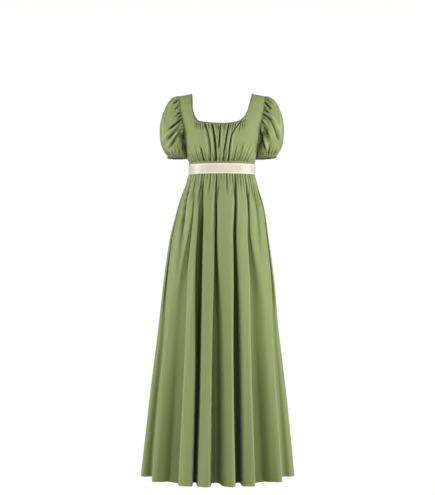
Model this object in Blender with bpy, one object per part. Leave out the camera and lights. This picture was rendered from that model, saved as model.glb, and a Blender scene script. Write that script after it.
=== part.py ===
"""Regency gown: gathered bodice, puff sleeves, satin ribbon and a full floor-length skirt.

Metres, +Z up. The front of the gown faces -Y and the wearer's left is +X.
The origin lies midway between the shoulders, level with the top of the straps.
Every piece of cloth is a thin closed wall, cut and sewn on its own.
"""
import math
from collections import namedtuple

import bpy
import numpy as np

# ---------------------------------------------------------------- wall and seam sizes
BODICE_WALL = 0.0016
SLEEVE_WALL = 0.0015
SKIRT_WALL = 0.0018
BAND_WALL = 0.0016
RIBBON_WALL = 0.0012
BINDING_WALL = 0.0022
SEAM_GAP = 0.0003

# ---------------------------------------------------------------- heights of the gown
BODICE_BOTTOM = -0.2535
WAISTBAND_TOP = BODICE_BOTTOM - SEAM_GAP
RIBBON_TOP = -0.2620
RIBBON_BOTTOM = -0.3000
WAISTBAND_BOTTOM = -0.3000
SKIRT_TOP = WAISTBAND_BOTTOM - SEAM_GAP
HEM_HEIGHT = -1.3980
SLEEVE_END = -0.2292
CUFF_TOP = SLEEVE_END - SEAM_GAP
CUFF_BOTTOM = -0.2380

# ---------------------------------------------------------------- neckline and straps
NECK_HALF_WIDTH = 0.1150
NECK_TAPER = 0.1500
NECK_CLOSE = 0.0050
NECK_CLOSE_HEIGHT = -0.0140
NECK_FRONT_DROP = 0.1180
NECK_FRONT_SQUARENESS = 5.0
NECK_FRONT_CORNER = 0.955
NECK_BACK_DROP = 0.0880
NECK_BACK_SQUARENESS = 3.4
NECK_BACK_CORNER = 0.930
BINDING_WIDTH = 0.0050
STRAP_INNER = 0.1100
SHOULDER_SLOPE = 0.18

# ---------------------------------------------------------------- sleeve and cuff sizes
CUFF_CENTRE_X = 0.1655
CUFF_CENTRE_Y = 0.0020
CUFF_HALF_WIDTH = 0.0345
CUFF_HALF_DEPTH = 0.0430
CUFF_SWELL = 0.0006
HEAD_GATHERS = 12
CUFF_GATHERS = 16
HEAD_GATHER_DEPTH = 0.0024
CUFF_GATHER_DEPTH = 0.0020

# ---------------------------------------------------------------- grid counts
CENTRE_COLUMNS = 32
SIDE_COLUMNS = 10
BACK_CENTRE_COLUMNS = 13
BACK_SIDE_COLUMNS = 7
SEAM_ROWS = 4
COLUMNS_PER_EDGE = 3
SLEEVE_ROWS = 8
BAND_COLUMNS = 72
CUFF_COLUMNS = 40

Section = namedtuple("Section", "height half_width front_depth back_depth squareness")
Sweep = namedtuple("Sweep", "height half_width front_depth back_depth shift squareness")
Edge = namedtuple("Edge", "height angle")
Trough = namedtuple("Trough", "top_x top_z low_x low_z depth width")
Gather = namedtuple("Gather", "x lean length depth")
Puff = namedtuple("Puff", "turn along rise cuff_out cuff_up")
Fold = namedtuple("Fold", "waist knee hem depth narrow swell gathers")
Growth = namedtuple("Growth", "height share")

# Level cuts through the bodice. Depths run from the shoulder ridge line forward and back.
BODICE_SECTIONS = [
    Section(0.0000, 0.1750, 0.0000, 0.0000, 2.5),
    Section(-0.0040, 0.1745, 0.0200, 0.0200, 2.5),
    Section(-0.0120, 0.1740, 0.0340, 0.0360, 2.5),
    Section(-0.0300, 0.1720, 0.0520, 0.0600, 2.5),
    Section(-0.0550, 0.1690, 0.0700, 0.0800, 2.5),
    Section(-0.0880, 0.1630, 0.0890, 0.0940, 2.5),
    Section(-0.1100, 0.1550, 0.1000, 0.0980, 2.5),
    Section(-0.1300, 0.1470, 0.1090, 0.1000, 2.5),
    Section(-0.1500, 0.1420, 0.1180, 0.1000, 2.5),
    Section(-0.1700, 0.1385, 0.1240, 0.0990, 2.5),
    Section(-0.1900, 0.1320, 0.1275, 0.0970, 2.5),
    Section(-0.2150, 0.1265, 0.1240, 0.0945, 2.4),
    Section(-0.2350, 0.1232, 0.1140, 0.0930, 2.3),
    Section(-0.2535, 0.1210, 0.1015, 0.0920, 2.2),
    Section(-0.2620, 0.1205, 0.0985, 0.0920, 2.2),
    Section(-0.3000, 0.1205, 0.0980, 0.0920, 2.2),
]

# The armhole, as heights and turns about the body from centre front, shoulder to underarm.
ARMHOLE_FRONT = [
    Edge(-0.0085, 61.5),
    Edge(-0.0160, 61.4),
    Edge(-0.0360, 61.1),
    Edge(-0.0620, 61.0),
    Edge(-0.0880, 62.1),
    Edge(-0.1130, 65.2),
    Edge(-0.1390, 71.5),
    Edge(-0.1610, 80.5),
    Edge(-0.1700, 90.0),
]
ARMHOLE_BACK = [
    Edge(-0.0085, 118.5),
    Edge(-0.0150, 119.0),
    Edge(-0.0340, 120.3),
    Edge(-0.0600, 121.0),
    Edge(-0.0860, 120.2),
    Edge(-0.1120, 117.0),
    Edge(-0.1380, 110.5),
    Edge(-0.1600, 100.5),
    Edge(-0.1700, 90.0),
]
# Shares of the height from the neckline's corner to the shoulder at the rows of each strap.
FRONT_STRAP_SHARES = [1.0, 0.74, 0.50, 0.28, 0.09, 0.0]
BACK_STRAP_SHARES = [1.0, 0.66, 0.36, 0.11, 0.0]

# Shares of the way from waist seam to neckline taken by the rows of the bodice panels.
FRONT_ROW_SHARES = [0.0, 0.18, 0.38, 0.58, 0.755, 0.865, 0.945, 1.0]
BACK_ROW_SHARES = [0.0, 0.11, 0.25, 0.40, 0.55, 0.69, 0.81, 0.92, 1.0]
FRONT_CORNER_TURN = 47.0
BACK_CORNER_TURN = 142.0

# Long soft folds that run from the gathered neckline down to the waist.
CENTRE_FOLDS = [
    Trough(-0.0580, -0.1215, -0.0430, -0.2535, 0.0030, 0.0070),
    Trough(-0.0320, -0.1215, -0.0180, -0.2535, 0.0062, 0.0060),
    Trough(-0.0070, -0.1215, -0.0020, -0.2150, 0.0050, 0.0055),
    Trough(0.0226, -0.1215, 0.0050, -0.2535, 0.0040, 0.0065),
    Trough(0.0570, -0.1215, 0.0230, -0.2535, 0.0058, 0.0060),
]
# Short gathers under the neck binding.
NECK_GATHERS = [
    Gather(-0.0810, 0.10, 0.018, 0.0014),
    Gather(-0.0700, 0.14, 0.024, 0.0018),
    Gather(-0.0475, 0.20, 0.022, 0.0022),
    Gather(-0.0400, 0.24, 0.016, 0.0018),
    Gather(-0.0235, 0.30, 0.020, 0.0020),
    Gather(-0.0150, 0.20, 0.026, 0.0024),
    Gather(0.0030, 0.05, 0.018, 0.0020),
    Gather(0.0125, -0.20, 0.024, 0.0022),
    Gather(0.0320, -0.26, 0.020, 0.0022),
    Gather(0.0410, -0.30, 0.026, 0.0024),
    Gather(0.0490, -0.26, 0.018, 0.0018),
    Gather(0.0670, -0.20, 0.022, 0.0020),
    Gather(0.0775, -0.12, 0.018, 0.0014),
]
# Gathers that rise from the waist seam and fan outward over the bust.
WAIST_GATHERS = [
    Gather(-0.1075, -0.55, 0.050, 0.0020),
    Gather(-0.0953, -0.45, 0.058, 0.0026),
    Gather(-0.0807, -0.36, 0.052, 0.0024),
    Gather(-0.0670, -0.26, 0.044, 0.0022),
    Gather(-0.0555, -0.16, 0.034, 0.0018),
    Gather(-0.0310, -0.10, 0.040, 0.0020),
    Gather(0.0130, 0.08, 0.036, 0.0018),
    Gather(0.0410, 0.20, 0.046, 0.0024),
    Gather(0.0585, 0.28, 0.050, 0.0026),
    Gather(0.0700, 0.34, 0.042, 0.0020),
    Gather(0.0790, 0.42, 0.056, 0.0026),
    Gather(0.0915, 0.50, 0.054, 0.0024),
    Gather(0.1040, 0.58, 0.046, 0.0020),
]
BACK_GATHERS = [
    Gather(-0.0560, -0.16, 0.038, 0.0018),
    Gather(-0.0430, -0.12, 0.052, 0.0024),
    Gather(-0.0290, -0.08, 0.046, 0.0026),
    Gather(-0.0150, -0.04, 0.060, 0.0024),
    Gather(0.0010, 0.00, 0.050, 0.0026),
    Gather(0.0160, 0.05, 0.058, 0.0024),
    Gather(0.0300, 0.08, 0.044, 0.0026),
    Gather(0.0445, 0.12, 0.054, 0.0022),
    Gather(0.0570, 0.17, 0.036, 0.0018),
]
GATHER_WIDTH = 0.0048

# How each line of a sleeve leaves the armhole and comes into the cuff, by turn about the arm:
# 0 is the shoulder, 90 the front, 180 the underarm and 270 the back.
SLEEVE_PUFFS = [
    Puff(0.0, 0.0680, 0.0210, 0.0530, 0.0440),
    Puff(45.0, 0.0420, 0.0420, 0.0520, 0.0500),
    Puff(90.0, 0.0180, 0.0480, 0.0380, 0.0500),
    Puff(135.0, 0.0080, 0.0300, 0.0120, 0.0340),
    Puff(180.0, 0.0020, 0.0090, -0.0010, 0.0240),
    Puff(225.0, 0.0080, 0.0300, 0.0120, 0.0340),
    Puff(270.0, 0.0180, 0.0480, 0.0380, 0.0500),
    Puff(315.0, 0.0420, 0.0420, 0.0520, 0.0500),
    Puff(360.0, 0.0680, 0.0210, 0.0530, 0.0440),
]
# Creases pressed into the front and back of each sleeve, as distances out from the centre line.
RIGHT_SLEEVE_FRONT = [
    Trough(0.1580, -0.0900, 0.1960, -0.1330, 0.0070, 0.0080),
    Trough(0.1640, -0.0300, 0.1830, -0.0480, 0.0030, 0.0070),
    Trough(0.1880, -0.1560, 0.2080, -0.1980, 0.0030, 0.0080),
]
LEFT_SLEEVE_FRONT = [
    Trough(0.1600, -0.0295, 0.1870, -0.0625, 0.0040, 0.0070),
    Trough(0.1640, -0.0800, 0.2060, -0.1780, 0.0050, 0.0090),
    Trough(0.1430, -0.1290, 0.1560, -0.2120, 0.0050, 0.0070),
]
SLEEVE_BACK = [
    Trough(0.1620, -0.0600, 0.1950, -0.1200, 0.0050, 0.0090),
    Trough(0.1560, -0.1250, 0.1880, -0.1900, 0.0040, 0.0090),
]

# Level cuts through the skirt, measured over the crests of its folds.
SKIRT_SECTIONS = [
    Sweep(-0.3003, 0.1222, 0.1000, 0.0940, -0.0010, 2.2),
    Sweep(-0.3300, 0.1275, 0.1060, 0.1020, -0.0030, 2.2),
    Sweep(-0.3630, 0.1380, 0.1150, 0.1130, -0.0055, 2.1),
    Sweep(-0.4070, 0.1527, 0.1270, 0.1280, -0.0065, 2.1),
    Sweep(-0.4510, 0.1640, 0.1370, 0.1400, -0.0074, 2.1),
    Sweep(-0.5390, 0.1820, 0.1530, 0.1590, -0.0105, 2.1),
    Sweep(-0.7050, 0.2060, 0.1790, 0.1870, -0.0115, 2.1),
    Sweep(-0.8480, 0.2200, 0.1960, 0.2050, -0.0130, 2.1),
    Sweep(-1.0550, 0.2454, 0.2170, 0.2260, -0.0140, 2.1),
    Sweep(-1.2000, 0.2613, 0.2310, 0.2400, -0.0150, 2.1),
    Sweep(-1.3980, 0.2815, 0.2500, 0.2600, -0.0166, 2.1),
]
# Heights of the skirt's rows, close together where the gathers are short.
SKIRT_ROW_SHARES = [0.0, 0.025, 0.07, 0.14, 0.24, 0.38, 0.56, 0.77, 1.0]
# The valleys between the hanging folds, by turn from centre front at three heights. Each row
# also shapes the fold that follows its valley, and says how many short gathers it carries.
SKIRT_FOLDS = [
    Fold(-82.0, -96.0, -107.0, 0.050, 0.55, 0.000, 1),
    Fold(-64.0, -76.0, -74.0, 0.060, 0.66, -0.008, 0),
    Fold(-55.0, -46.0, -50.0, 0.024, 0.40, 0.000, 0),
    Fold(-45.0, -37.0, -38.2, 0.045, 0.60, 0.000, 0),
    Fold(-34.6, -23.5, -22.1, 0.060, 0.80, 0.000, 2),
    Fold(-6.3, -3.6, -2.3, 0.080, 0.74, 0.000, 2),
    Fold(26.8, 18.0, 23.1, 0.080, 0.74, 0.018, 2),
    Fold(44.0, 39.0, 39.5, 0.060, 0.62, 0.000, 0),
    Fold(52.0, 51.0, 50.0, 0.024, 0.40, -0.010, 0),
    Fold(60.5, 78.0, 75.0, 0.060, 0.66, 0.000, 1),
    Fold(80.0, 96.0, 108.0, 0.050, 0.55, 0.000, 1),
    Fold(104.0, 115.0, 126.0, 0.052, 0.60, 0.004, 1),
    Fold(127.0, 134.0, 144.0, 0.058, 0.64, 0.000, 1),
    Fold(152.0, 156.0, 163.0, 0.050, 0.58, 0.008, 1),
    Fold(180.0, 180.0, 182.0, 0.056, 0.62, 0.000, 1),
    Fold(205.0, 202.0, 200.0, 0.058, 0.64, 0.006, 1),
    Fold(231.0, 223.0, 219.0, 0.050, 0.60, 0.000, 1),
    Fold(254.0, 243.0, 236.0, 0.052, 0.58, 0.004, 1),
]
FRONT_LAST_FOLD = 10
BACK_MIDDLE_FOLD = 14
COLUMNS_PER_FOLD = 10
KNEE_HEIGHT = -0.5390
# How much of each fold's full hem depth has opened at each height.
FOLD_GROWTH = [
    Growth(-0.3003, 0.040),
    Growth(-0.3500, 0.095),
    Growth(-0.4100, 0.150),
    Growth(-0.5390, 0.240),
    Growth(-0.7400, 0.360),
    Growth(-1.0500, 0.620),
    Growth(-1.3980, 1.000),
]
SKIRT_GATHER_DEPTH = 0.0030
SKIRT_GATHER_WIDTH = 3.6
SKIRT_GATHER_LENGTH = 0.210

SAGE = (0.350, 0.405, 0.190, 1.0)
SAGE_DEEP = (0.300, 0.350, 0.160, 1.0)
OLIVE_EDGE = (0.270, 0.260, 0.130, 1.0)
CREAM = (0.830, 0.750, 0.665, 1.0)


def clear_scene():
    """Remove every object already in the file."""
    for item in list(bpy.data.objects):
        bpy.data.objects.remove(item, do_unlink=True)


def finish(name, colour, roughness):
    """Return a plain cloth material of one colour."""
    material = bpy.data.materials.new(name)
    material.use_nodes = True
    shader = material.node_tree.nodes["Principled BSDF"]
    shader.inputs["Base Color"].default_value = colour
    shader.inputs["Roughness"].default_value = roughness
    shader.inputs["Metallic"].default_value = 0.0
    material.diffuse_color = colour
    return material


def column(rows, name):
    """Return one named column of a table as an array."""
    return np.array([getattr(row, name) for row in rows], dtype=float)


def flowing(knots, values, at):
    """Return the smooth curve through the knots at the given places, with no overshoot."""
    order = np.argsort(knots)
    knots = np.asarray(knots, dtype=float)[order]
    values = np.asarray(values, dtype=float)[order]
    step = np.diff(knots)
    rise = np.diff(values) / step
    slope = np.empty_like(values)
    slope[0] = rise[0]
    slope[-1] = rise[-1]
    product = rise[:-1] * rise[1:]
    total = rise[:-1] + rise[1:]
    safe = np.where(np.abs(total) < 1e-12, 1.0, total)
    slope[1:-1] = np.where(product > 0.0, 2.0 * product / safe, 0.0)
    at = np.clip(np.asarray(at, dtype=float), knots[0], knots[-1])
    place = np.clip(np.searchsorted(knots, at) - 1, 0, len(step) - 1)
    width = step[place]
    t = (at - knots[place]) / width
    start = (1.0 + 2.0 * t) * (1.0 - t) ** 2 * values[place]
    leave = t * (1.0 - t) ** 2 * width * slope[place]
    end = t * t * (3.0 - 2.0 * t) * values[place + 1]
    arrive = t * t * (t - 1.0) * width * slope[place + 1]
    return start + leave + end + arrive


def smooth_step(low, high, value):
    """Return a share that eases from 0 at low to 1 at high."""
    t = np.clip((value - low) / (high - low), 0.0, 1.0)
    return t * t * (3.0 - 2.0 * t)


def unit(vectors):
    """Return the vectors scaled to length one."""
    length = np.linalg.norm(vectors, axis=-1, keepdims=True)
    return vectors / np.maximum(length, 1e-12)


def shoulder_height(x):
    """Return the height of the shoulder ridge at a distance from the centre line."""
    return -SHOULDER_SLOPE * np.maximum(np.abs(x) - STRAP_INNER, 0.0)


def section_value(name, height):
    """Return one size of the bodice sections at a height."""
    root = np.sqrt(np.maximum(-np.asarray(height, dtype=float), 0.0))
    knots = np.sqrt(np.maximum(-column(BODICE_SECTIONS, "height"), 0.0))
    return flowing(knots, column(BODICE_SECTIONS, name), root)


def torso_point(turn, height):
    """Return points of the bodice form at turns from centre front, in degrees, and heights."""
    turn = np.radians(np.asarray(turn, dtype=float))
    height = np.asarray(height, dtype=float)
    power = 2.0 / section_value("squareness", height)
    across = np.abs(np.sin(turn)) ** power
    x = np.sign(np.sin(turn)) * section_value("half_width", height) * across
    ridge = shoulder_height(x)
    chest = -0.13
    lifted = chest + (height - chest) * chest / (chest - ridge)
    level = np.where(height > chest, lifted, height)
    front = section_value("front_depth", level)
    back = section_value("back_depth", level)
    ahead = np.abs(np.cos(turn)) ** power
    y = np.where(np.cos(turn) >= 0.0, -front, back) * ahead
    return np.stack([x, y, height], axis=-1)


def turn_for(x, height, is_back):
    """Return the turn about the body that reaches a distance from the centre line."""
    half_width = section_value("half_width", height)
    power = section_value("squareness", height) / 2.0
    share = np.clip(np.abs(x) / half_width, 0.0, 1.0) ** power
    turn = np.degrees(np.arcsin(share))
    return 180.0 - turn if is_back else turn


def neck_half(is_back, margin):
    """Return the half neckline as many close points, set back from the opening by a margin."""
    drop = (NECK_BACK_DROP if is_back else NECK_FRONT_DROP) + margin
    power = NECK_BACK_SQUARENESS if is_back else NECK_FRONT_SQUARENESS
    turn = np.linspace(0.0, math.pi / 2.0, 721)
    share_x = np.sin(turn) ** (2.0 / power)
    share_z = np.maximum(np.cos(turn), 0.0) ** (2.0 / power)
    height = -drop * share_z
    reach = NECK_HALF_WIDTH + margin + NECK_TAPER * height
    reach = reach - NECK_CLOSE * smooth_step(NECK_CLOSE_HEIGHT, 0.0, height)
    return share_x, reach * share_x, height


def neck_line(is_back, margin):
    """Return the half neckline from centre to shoulder, as turns and heights.

    Its points are evenly spaced along the bottom and round the corner, then go up the strap.
    """
    centre_columns = BACK_CENTRE_COLUMNS if is_back else CENTRE_COLUMNS
    strap_shares = np.array(BACK_STRAP_SHARES if is_back else FRONT_STRAP_SHARES)
    share, x, height = neck_half(is_back, margin)
    corner = int(np.searchsorted(share, NECK_BACK_CORNER if is_back else NECK_FRONT_CORNER))
    travel = np.concatenate([[0.0], np.cumsum(np.hypot(np.diff(x), np.diff(height)))])
    low = np.linspace(0.0, travel[corner], centre_columns + 1)
    low_x = np.interp(low, travel, x)
    low_z = np.interp(low, travel, height)
    high_z = height[corner] * strap_shares[1:]
    high_x = np.interp(high_z, height, x)
    line_x = np.concatenate([low_x, high_x])
    line_z = np.concatenate([low_z, high_z])
    return turn_for(line_x, np.minimum(line_z, -1e-6), is_back), line_z


def half_panel(is_back):
    """Return turns and heights over half a bodice panel, and which cells hold cloth.

    Rows climb from the waist seam. Columns run from the centre line to the side seam; the
    centre ones stop at the neckline and the outer ones go on up the strap.
    """
    centre_columns = BACK_CENTRE_COLUMNS if is_back else CENTRE_COLUMNS
    side_columns = BACK_SIDE_COLUMNS if is_back else SIDE_COLUMNS
    armhole = ARMHOLE_BACK if is_back else ARMHOLE_FRONT
    strap_rows = len(BACK_STRAP_SHARES if is_back else FRONT_STRAP_SHARES) - 1
    shares = np.array(BACK_ROW_SHARES if is_back else FRONT_ROW_SHARES)
    corner_turn = BACK_CORNER_TURN if is_back else FRONT_CORNER_TURN
    middle = 180.0 if is_back else 0.0
    margin = BINDING_WIDTH + SEAM_GAP
    lower_rows = len(shares) - 1
    neck_turn, neck_height = neck_line(is_back, margin)
    edge_turn = np.concatenate([np.full(SEAM_ROWS, 90.0), column(armhole, "angle")[::-1]])
    seam_height = np.linspace(BODICE_BOTTOM, armhole[-1].height, SEAM_ROWS + 1)
    edge_height = np.concatenate([seam_height[:-1], column(armhole, "height")[::-1]])
    rows = lower_rows + strap_rows + 1
    columns = centre_columns + side_columns + 1
    turns = np.zeros((rows, columns))
    heights = np.zeros((rows, columns))
    u_centre = np.linspace(0.0, 1.0, centre_columns + 1)
    u_side = np.linspace(0.0, 1.0, side_columns + 1)
    corner_height = neck_height[centre_columns]
    for row in range(lower_rows + 1):
        share = shares[row]
        low_turn = corner_turn + (neck_turn[centre_columns] - corner_turn) * share
        low_height = BODICE_BOTTOM + (corner_height - BODICE_BOTTOM) * share
        mid_height = BODICE_BOTTOM + (neck_height[0] - BODICE_BOTTOM) * share
        even_turn = middle + (neck_turn[centre_columns] - middle) * u_centre
        bow_turn = neck_turn[:centre_columns + 1] - even_turn
        even_height = neck_height[0] + (corner_height - neck_height[0]) * u_centre
        bow_height = neck_height[:centre_columns + 1] - even_height
        inner_turn = middle + (low_turn - middle) * u_centre + bow_turn * share
        inner_height = mid_height + (low_height - mid_height) * u_centre
        inner_height = inner_height + bow_height * share ** 2
        turns[row, :centre_columns + 1] = inner_turn
        heights[row, :centre_columns + 1] = inner_height
        turns[row, centre_columns:] = low_turn + (edge_turn[row] - low_turn) * u_side
        heights[row, centre_columns:] = low_height + (edge_height[row] - low_height) * u_side
    for step in range(1, strap_rows + 1):
        row = lower_rows + step
        inner = centre_columns + step
        turn = neck_turn[inner]
        height = neck_height[inner]
        turns[row, centre_columns:] = turn + (edge_turn[row] - turn) * u_side
        heights[row, centre_columns:] = height + (edge_height[row] - height) * u_side
        turns[row, :centre_columns] = turn
        heights[row, :centre_columns] = height
    cells = np.ones((rows - 1, columns - 1), dtype=bool)
    cells[lower_rows:, :centre_columns] = False
    return turns, heights, cells


def mirrored(turns, heights, cells, is_back):
    """Return the whole panel made from one half and its mirror image."""
    left_turns = (360.0 - turns[:, ::-1]) if is_back else -turns[:, ::-1]
    whole_turns = np.concatenate([left_turns[:, :-1], turns], axis=1)
    whole_heights = np.concatenate([heights[:, ::-1][:, :-1], heights], axis=1)
    whole_cells = np.concatenate([cells[:, ::-1], cells], axis=1)
    return whole_turns, whole_heights, whole_cells


def level_shoulders(points, is_back):
    """Bring the last row onto the shoulder ridge, just short of the seam with its neighbour."""
    side = 1.0 if is_back else -1.0
    edge = points[-1]
    edge[:, 1] = side * SEAM_GAP / 2.0
    edge[:, 2] = shoulder_height(edge[:, 0])
    return points


def grid_normals(points, wraps):
    """Return the outward-facing direction at each point of a grid, before its sign is settled."""
    if wraps:
        along = np.roll(points, -1, axis=1) - np.roll(points, 1, axis=1)
    else:
        along = np.gradient(points, axis=1)
    up = np.gradient(points, axis=0)
    return unit(np.cross(along, up))


def away_from(normals, points, centre):
    """Return the normals, each turned to face away from a centre line."""
    reach = points - centre
    toward = np.sum(normals * reach, axis=-1, keepdims=True) < 0.0
    return np.where(toward, -normals, normals)


def press(x, z, rows, starts_at_seam):
    """Return how far a table of troughs moves the cloth, negative inward, in metres."""
    total = np.zeros_like(x)
    for row in rows:
        run_x = row.low_x - row.top_x
        run_z = row.low_z - row.top_z
        length = math.hypot(run_x, run_z)
        along = ((x - row.top_x) * run_x + (z - row.top_z) * run_z) / length
        aside = ((x - row.top_x) * run_z - (z - row.top_z) * run_x) / length
        share = along / length
        fade = smooth_step(1.12, 0.72, share)
        if not starts_at_seam:
            fade = fade * smooth_step(-0.12, 0.22, share)
        spread = (aside / row.width) ** 2
        total = total - row.depth * (1.0 - 0.9 * spread) * np.exp(-spread) * fade
    return total


def gather_troughs(rows, base_height, upward):
    """Return troughs for short gathers that start at a seam and lean as they go."""
    sign = 1.0 if upward else -1.0
    troughs = []
    for row in rows:
        far_x = row.x + row.lean * row.length
        far_z = base_height + sign * row.length
        troughs.append(Trough(row.x, base_height, far_x, far_z, row.depth, GATHER_WIDTH))
    return troughs


def bodice_panel(is_back):
    """Return outer points, inner points, outward directions and cells of a bodice panel."""
    turns, heights, cells = mirrored(*half_panel(is_back), is_back)
    points = level_shoulders(torso_point(turns, heights), is_back)
    side = 1.0 if is_back else -1.0
    seam_rows = SEAM_ROWS + 1
    points[:seam_rows, 0, 1] = side * SEAM_GAP / 2.0
    points[:seam_rows, -1, 1] = side * SEAM_GAP / 2.0
    centre = np.zeros_like(points)
    centre[..., 2] = np.minimum(points[..., 2], -0.06)
    normals = panel_normals(points, cells, centre)
    for edge in (0, -1):
        normals[:seam_rows, edge, 1] = 0.0
    normals[-1, :, 1] = 0.0
    normals = unit(normals)
    x = points[..., 0]
    z = points[..., 2]
    if is_back:
        lift = press(x, z, gather_troughs(BACK_GATHERS, BODICE_BOTTOM, True), True)
    else:
        neck_height = -(NECK_FRONT_DROP + BINDING_WIDTH)
        lift = press(x, z, CENTRE_FOLDS, True)
        lift = lift + press(x, z, gather_troughs(NECK_GATHERS, neck_height, False), True)
        lift = lift + press(x, z, gather_troughs(WAIST_GATHERS, BODICE_BOTTOM, True), True)
        strap_row = len(FRONT_ROW_SHARES) - 1
        calm = np.ones(lift.shape)
        calm[strap_row + 1:] = 0.0
        lift = lift * calm
    calm_side = smooth_step(0.1200, 0.1120, np.abs(x))
    lift = lift * calm_side
    outer = points + normals * lift[..., None]
    inner = outer - normals * BODICE_WALL
    return outer, inner, normals, cells


def panel_normals(points, cells, centre):
    """Return directions at the corners of a panel, summed over the cells that hold cloth."""
    rows, columns = points.shape[:2]
    total = np.zeros_like(points)
    across = points[:-1, 1:] - points[1:, :-1]
    climb = points[1:, 1:] - points[:-1, :-1]
    faces = np.cross(climb, across) * cells[..., None]
    total[:rows - 1, :columns - 1] += faces
    total[1:, :columns - 1] += faces
    total[:rows - 1, 1:] += faces
    total[1:, 1:] += faces
    return away_from(unit(total), points, centre)


def add_wall(name, outer, inner, cells, wraps, material):
    """Add one closed wall of cloth between an outer and an inner grid of points."""
    rows, columns = outer.shape[:2]
    used = np.zeros((rows, columns), dtype=bool)
    quads = []
    for row in range(cells.shape[0]):
        for place in range(cells.shape[1]):
            if cells[row, place]:
                after = (place + 1) % columns
                corners = [(row, place), (row, after), (row + 1, after), (row + 1, place)]
                quads.append(corners)
                for corner in corners:
                    used[corner] = True
    number = -np.ones((rows, columns), dtype=int)
    number[used] = np.arange(int(used.sum()))
    count = int(used.sum())
    vertices = np.concatenate([outer[used], inner[used]])
    first = [np.array(outer[corner]) for corner in quads[0]]
    facing = np.cross(first[1] - first[0], first[3] - first[0])
    is_outward = float(np.dot(facing, outer[quads[0][0]] - inner[quads[0][0]])) > 0.0
    faces = []
    smooth = []
    borders = {}
    for corners in quads:
        if not is_outward:
            corners = corners[::-1]
        loop = [int(number[corner]) for corner in corners]
        faces.append(loop)
        faces.append([index + count for index in reversed(loop)])
        smooth.extend([True, True])
        for start, end in zip(loop, loop[1:] + loop[:1]):
            if (end, start) in borders:
                del borders[(end, start)]
            else:
                borders[(start, end)] = True
    for start, end in borders:
        faces.append([end, start, start + count, end + count])
        smooth.append(False)
    mesh = bpy.data.meshes.new(name)
    mesh.from_pydata(vertices.tolist(), [], faces)
    mesh.polygons.foreach_set("use_smooth", smooth)
    mesh.update()
    mesh.materials.append(material)
    item = bpy.data.objects.new(name, mesh)
    bpy.context.scene.collection.objects.link(item)
    return item


def level_loop(count, height, half_width, front_depth, back_depth, squareness, grow):
    """Return a closed level loop about the body, grown outward by a distance."""
    turn = np.linspace(0.0, 2.0 * math.pi, count, endpoint=False)
    power = 2.0 / squareness
    across = np.sign(np.sin(turn)) * np.abs(np.sin(turn)) ** power
    ahead = np.sign(np.cos(turn)) * np.abs(np.cos(turn)) ** power
    depth = np.where(np.cos(turn) >= 0.0, front_depth, back_depth)
    x = across * (half_width + grow)
    y = -ahead * (depth + grow)
    return np.stack([x, y, np.full(count, height)], axis=-1)


def body_loop(height, grow):
    """Return the level loop of the bodice form at a height, grown outward."""
    sizes = [section_value(name, height) for name in Section._fields[1:]]
    return level_loop(BAND_COLUMNS, height, *[float(size) for size in sizes], grow)


def add_band(name, levels, lift, wall, material):
    """Add a flat band round the waist, its inner face a distance out from the bodice form."""
    outer = np.stack([body_loop(height, lift + wall) for height in levels])
    inner = np.stack([body_loop(height, lift) for height in levels])
    cells = np.ones((len(levels) - 1, BAND_COLUMNS), dtype=bool)
    return add_wall(name, outer, inner, cells, True, material)


def binding_loop(margin):
    """Return the whole neckline loop, set back from the opening by a margin."""
    front_turn, front_height = neck_line(False, margin)
    back_turn, back_height = neck_line(True, margin)
    turns = np.concatenate([front_turn, back_turn[::-1][1:]])
    heights = np.concatenate([front_height, back_height[::-1][1:]])
    left = torso_point(turns, np.minimum(heights, -1e-6))
    ridge = len(front_turn) - 1
    left[ridge, 1] = 0.0
    left[ridge, 2] = 0.0
    right = left[::-1][1:-1] * np.array([-1.0, 1.0, 1.0])
    return np.concatenate([left, right])


def add_neck_binding(material):
    """Add the narrow bound edge that runs all round the neck opening."""
    opening = binding_loop(0.0)
    seam = binding_loop(BINDING_WIDTH)
    travel = unit(np.roll(opening, -1, axis=0) - np.roll(opening, 1, axis=0))
    breadth = unit(seam - opening)
    normal = unit(np.cross(travel, breadth))
    centre = opening * 0.0
    centre[:, 2] = np.minimum(opening[:, 2], -0.06)
    normal = away_from(normal, opening, centre)
    face = 0.0003
    outer = np.stack([opening + normal * face, seam + normal * face])
    inner = outer - normal[None] * BINDING_WALL
    cells = np.ones((1, outer.shape[1]), dtype=bool)
    return add_wall("neck_binding", outer, inner, cells, True, material)


def armhole_loop(front, back, sign):
    """Return the armhole's edge points, outward directions and ways into the sleeve.

    The loop starts at the shoulder, goes down the front, under the arm and up the back.
    """
    side = -1 if sign > 0.0 else 0
    beside = -2 if sign > 0.0 else 1
    pieces = []
    for panel, order in ((front, -1), (back, 1)):
        outer, _, normals, _ = panel
        edge = outer[SEAM_ROWS:, side]
        direction = normals[SEAM_ROWS:, side]
        along = np.gradient(edge, axis=0)
        into = edge - outer[SEAM_ROWS:, beside]
        into = into - along * (np.sum(into * along, axis=-1, keepdims=True)
                               / np.maximum(np.sum(along * along, axis=-1, keepdims=True), 1e-12))
        into = unit(into)
        into[0] = (0.0, 0.0, 1.0)
        pieces.append((edge[::order], direction[::order], into[::order]))
    joined = []
    for front_part, back_part in zip(*pieces):
        shared = (front_part[-1] + back_part[0]) / 2.0
        top = (front_part[0] + back_part[-1]) / 2.0
        joined.append(np.concatenate([[top], front_part[1:-1], [shared], back_part[1:-1]]))
    edge, direction, into = joined
    return edge, unit(direction), unit(into)


def spread_loop(values, parts):
    """Return a closed loop with each of its edges split into equal parts."""
    following = np.roll(values, -1, axis=0)
    shares = np.arange(parts) / parts
    split = values[:, None] * (1.0 - shares)[None, :, None]
    split = split + following[:, None] * shares[None, :, None]
    return split.reshape(-1, values.shape[-1])


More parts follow.
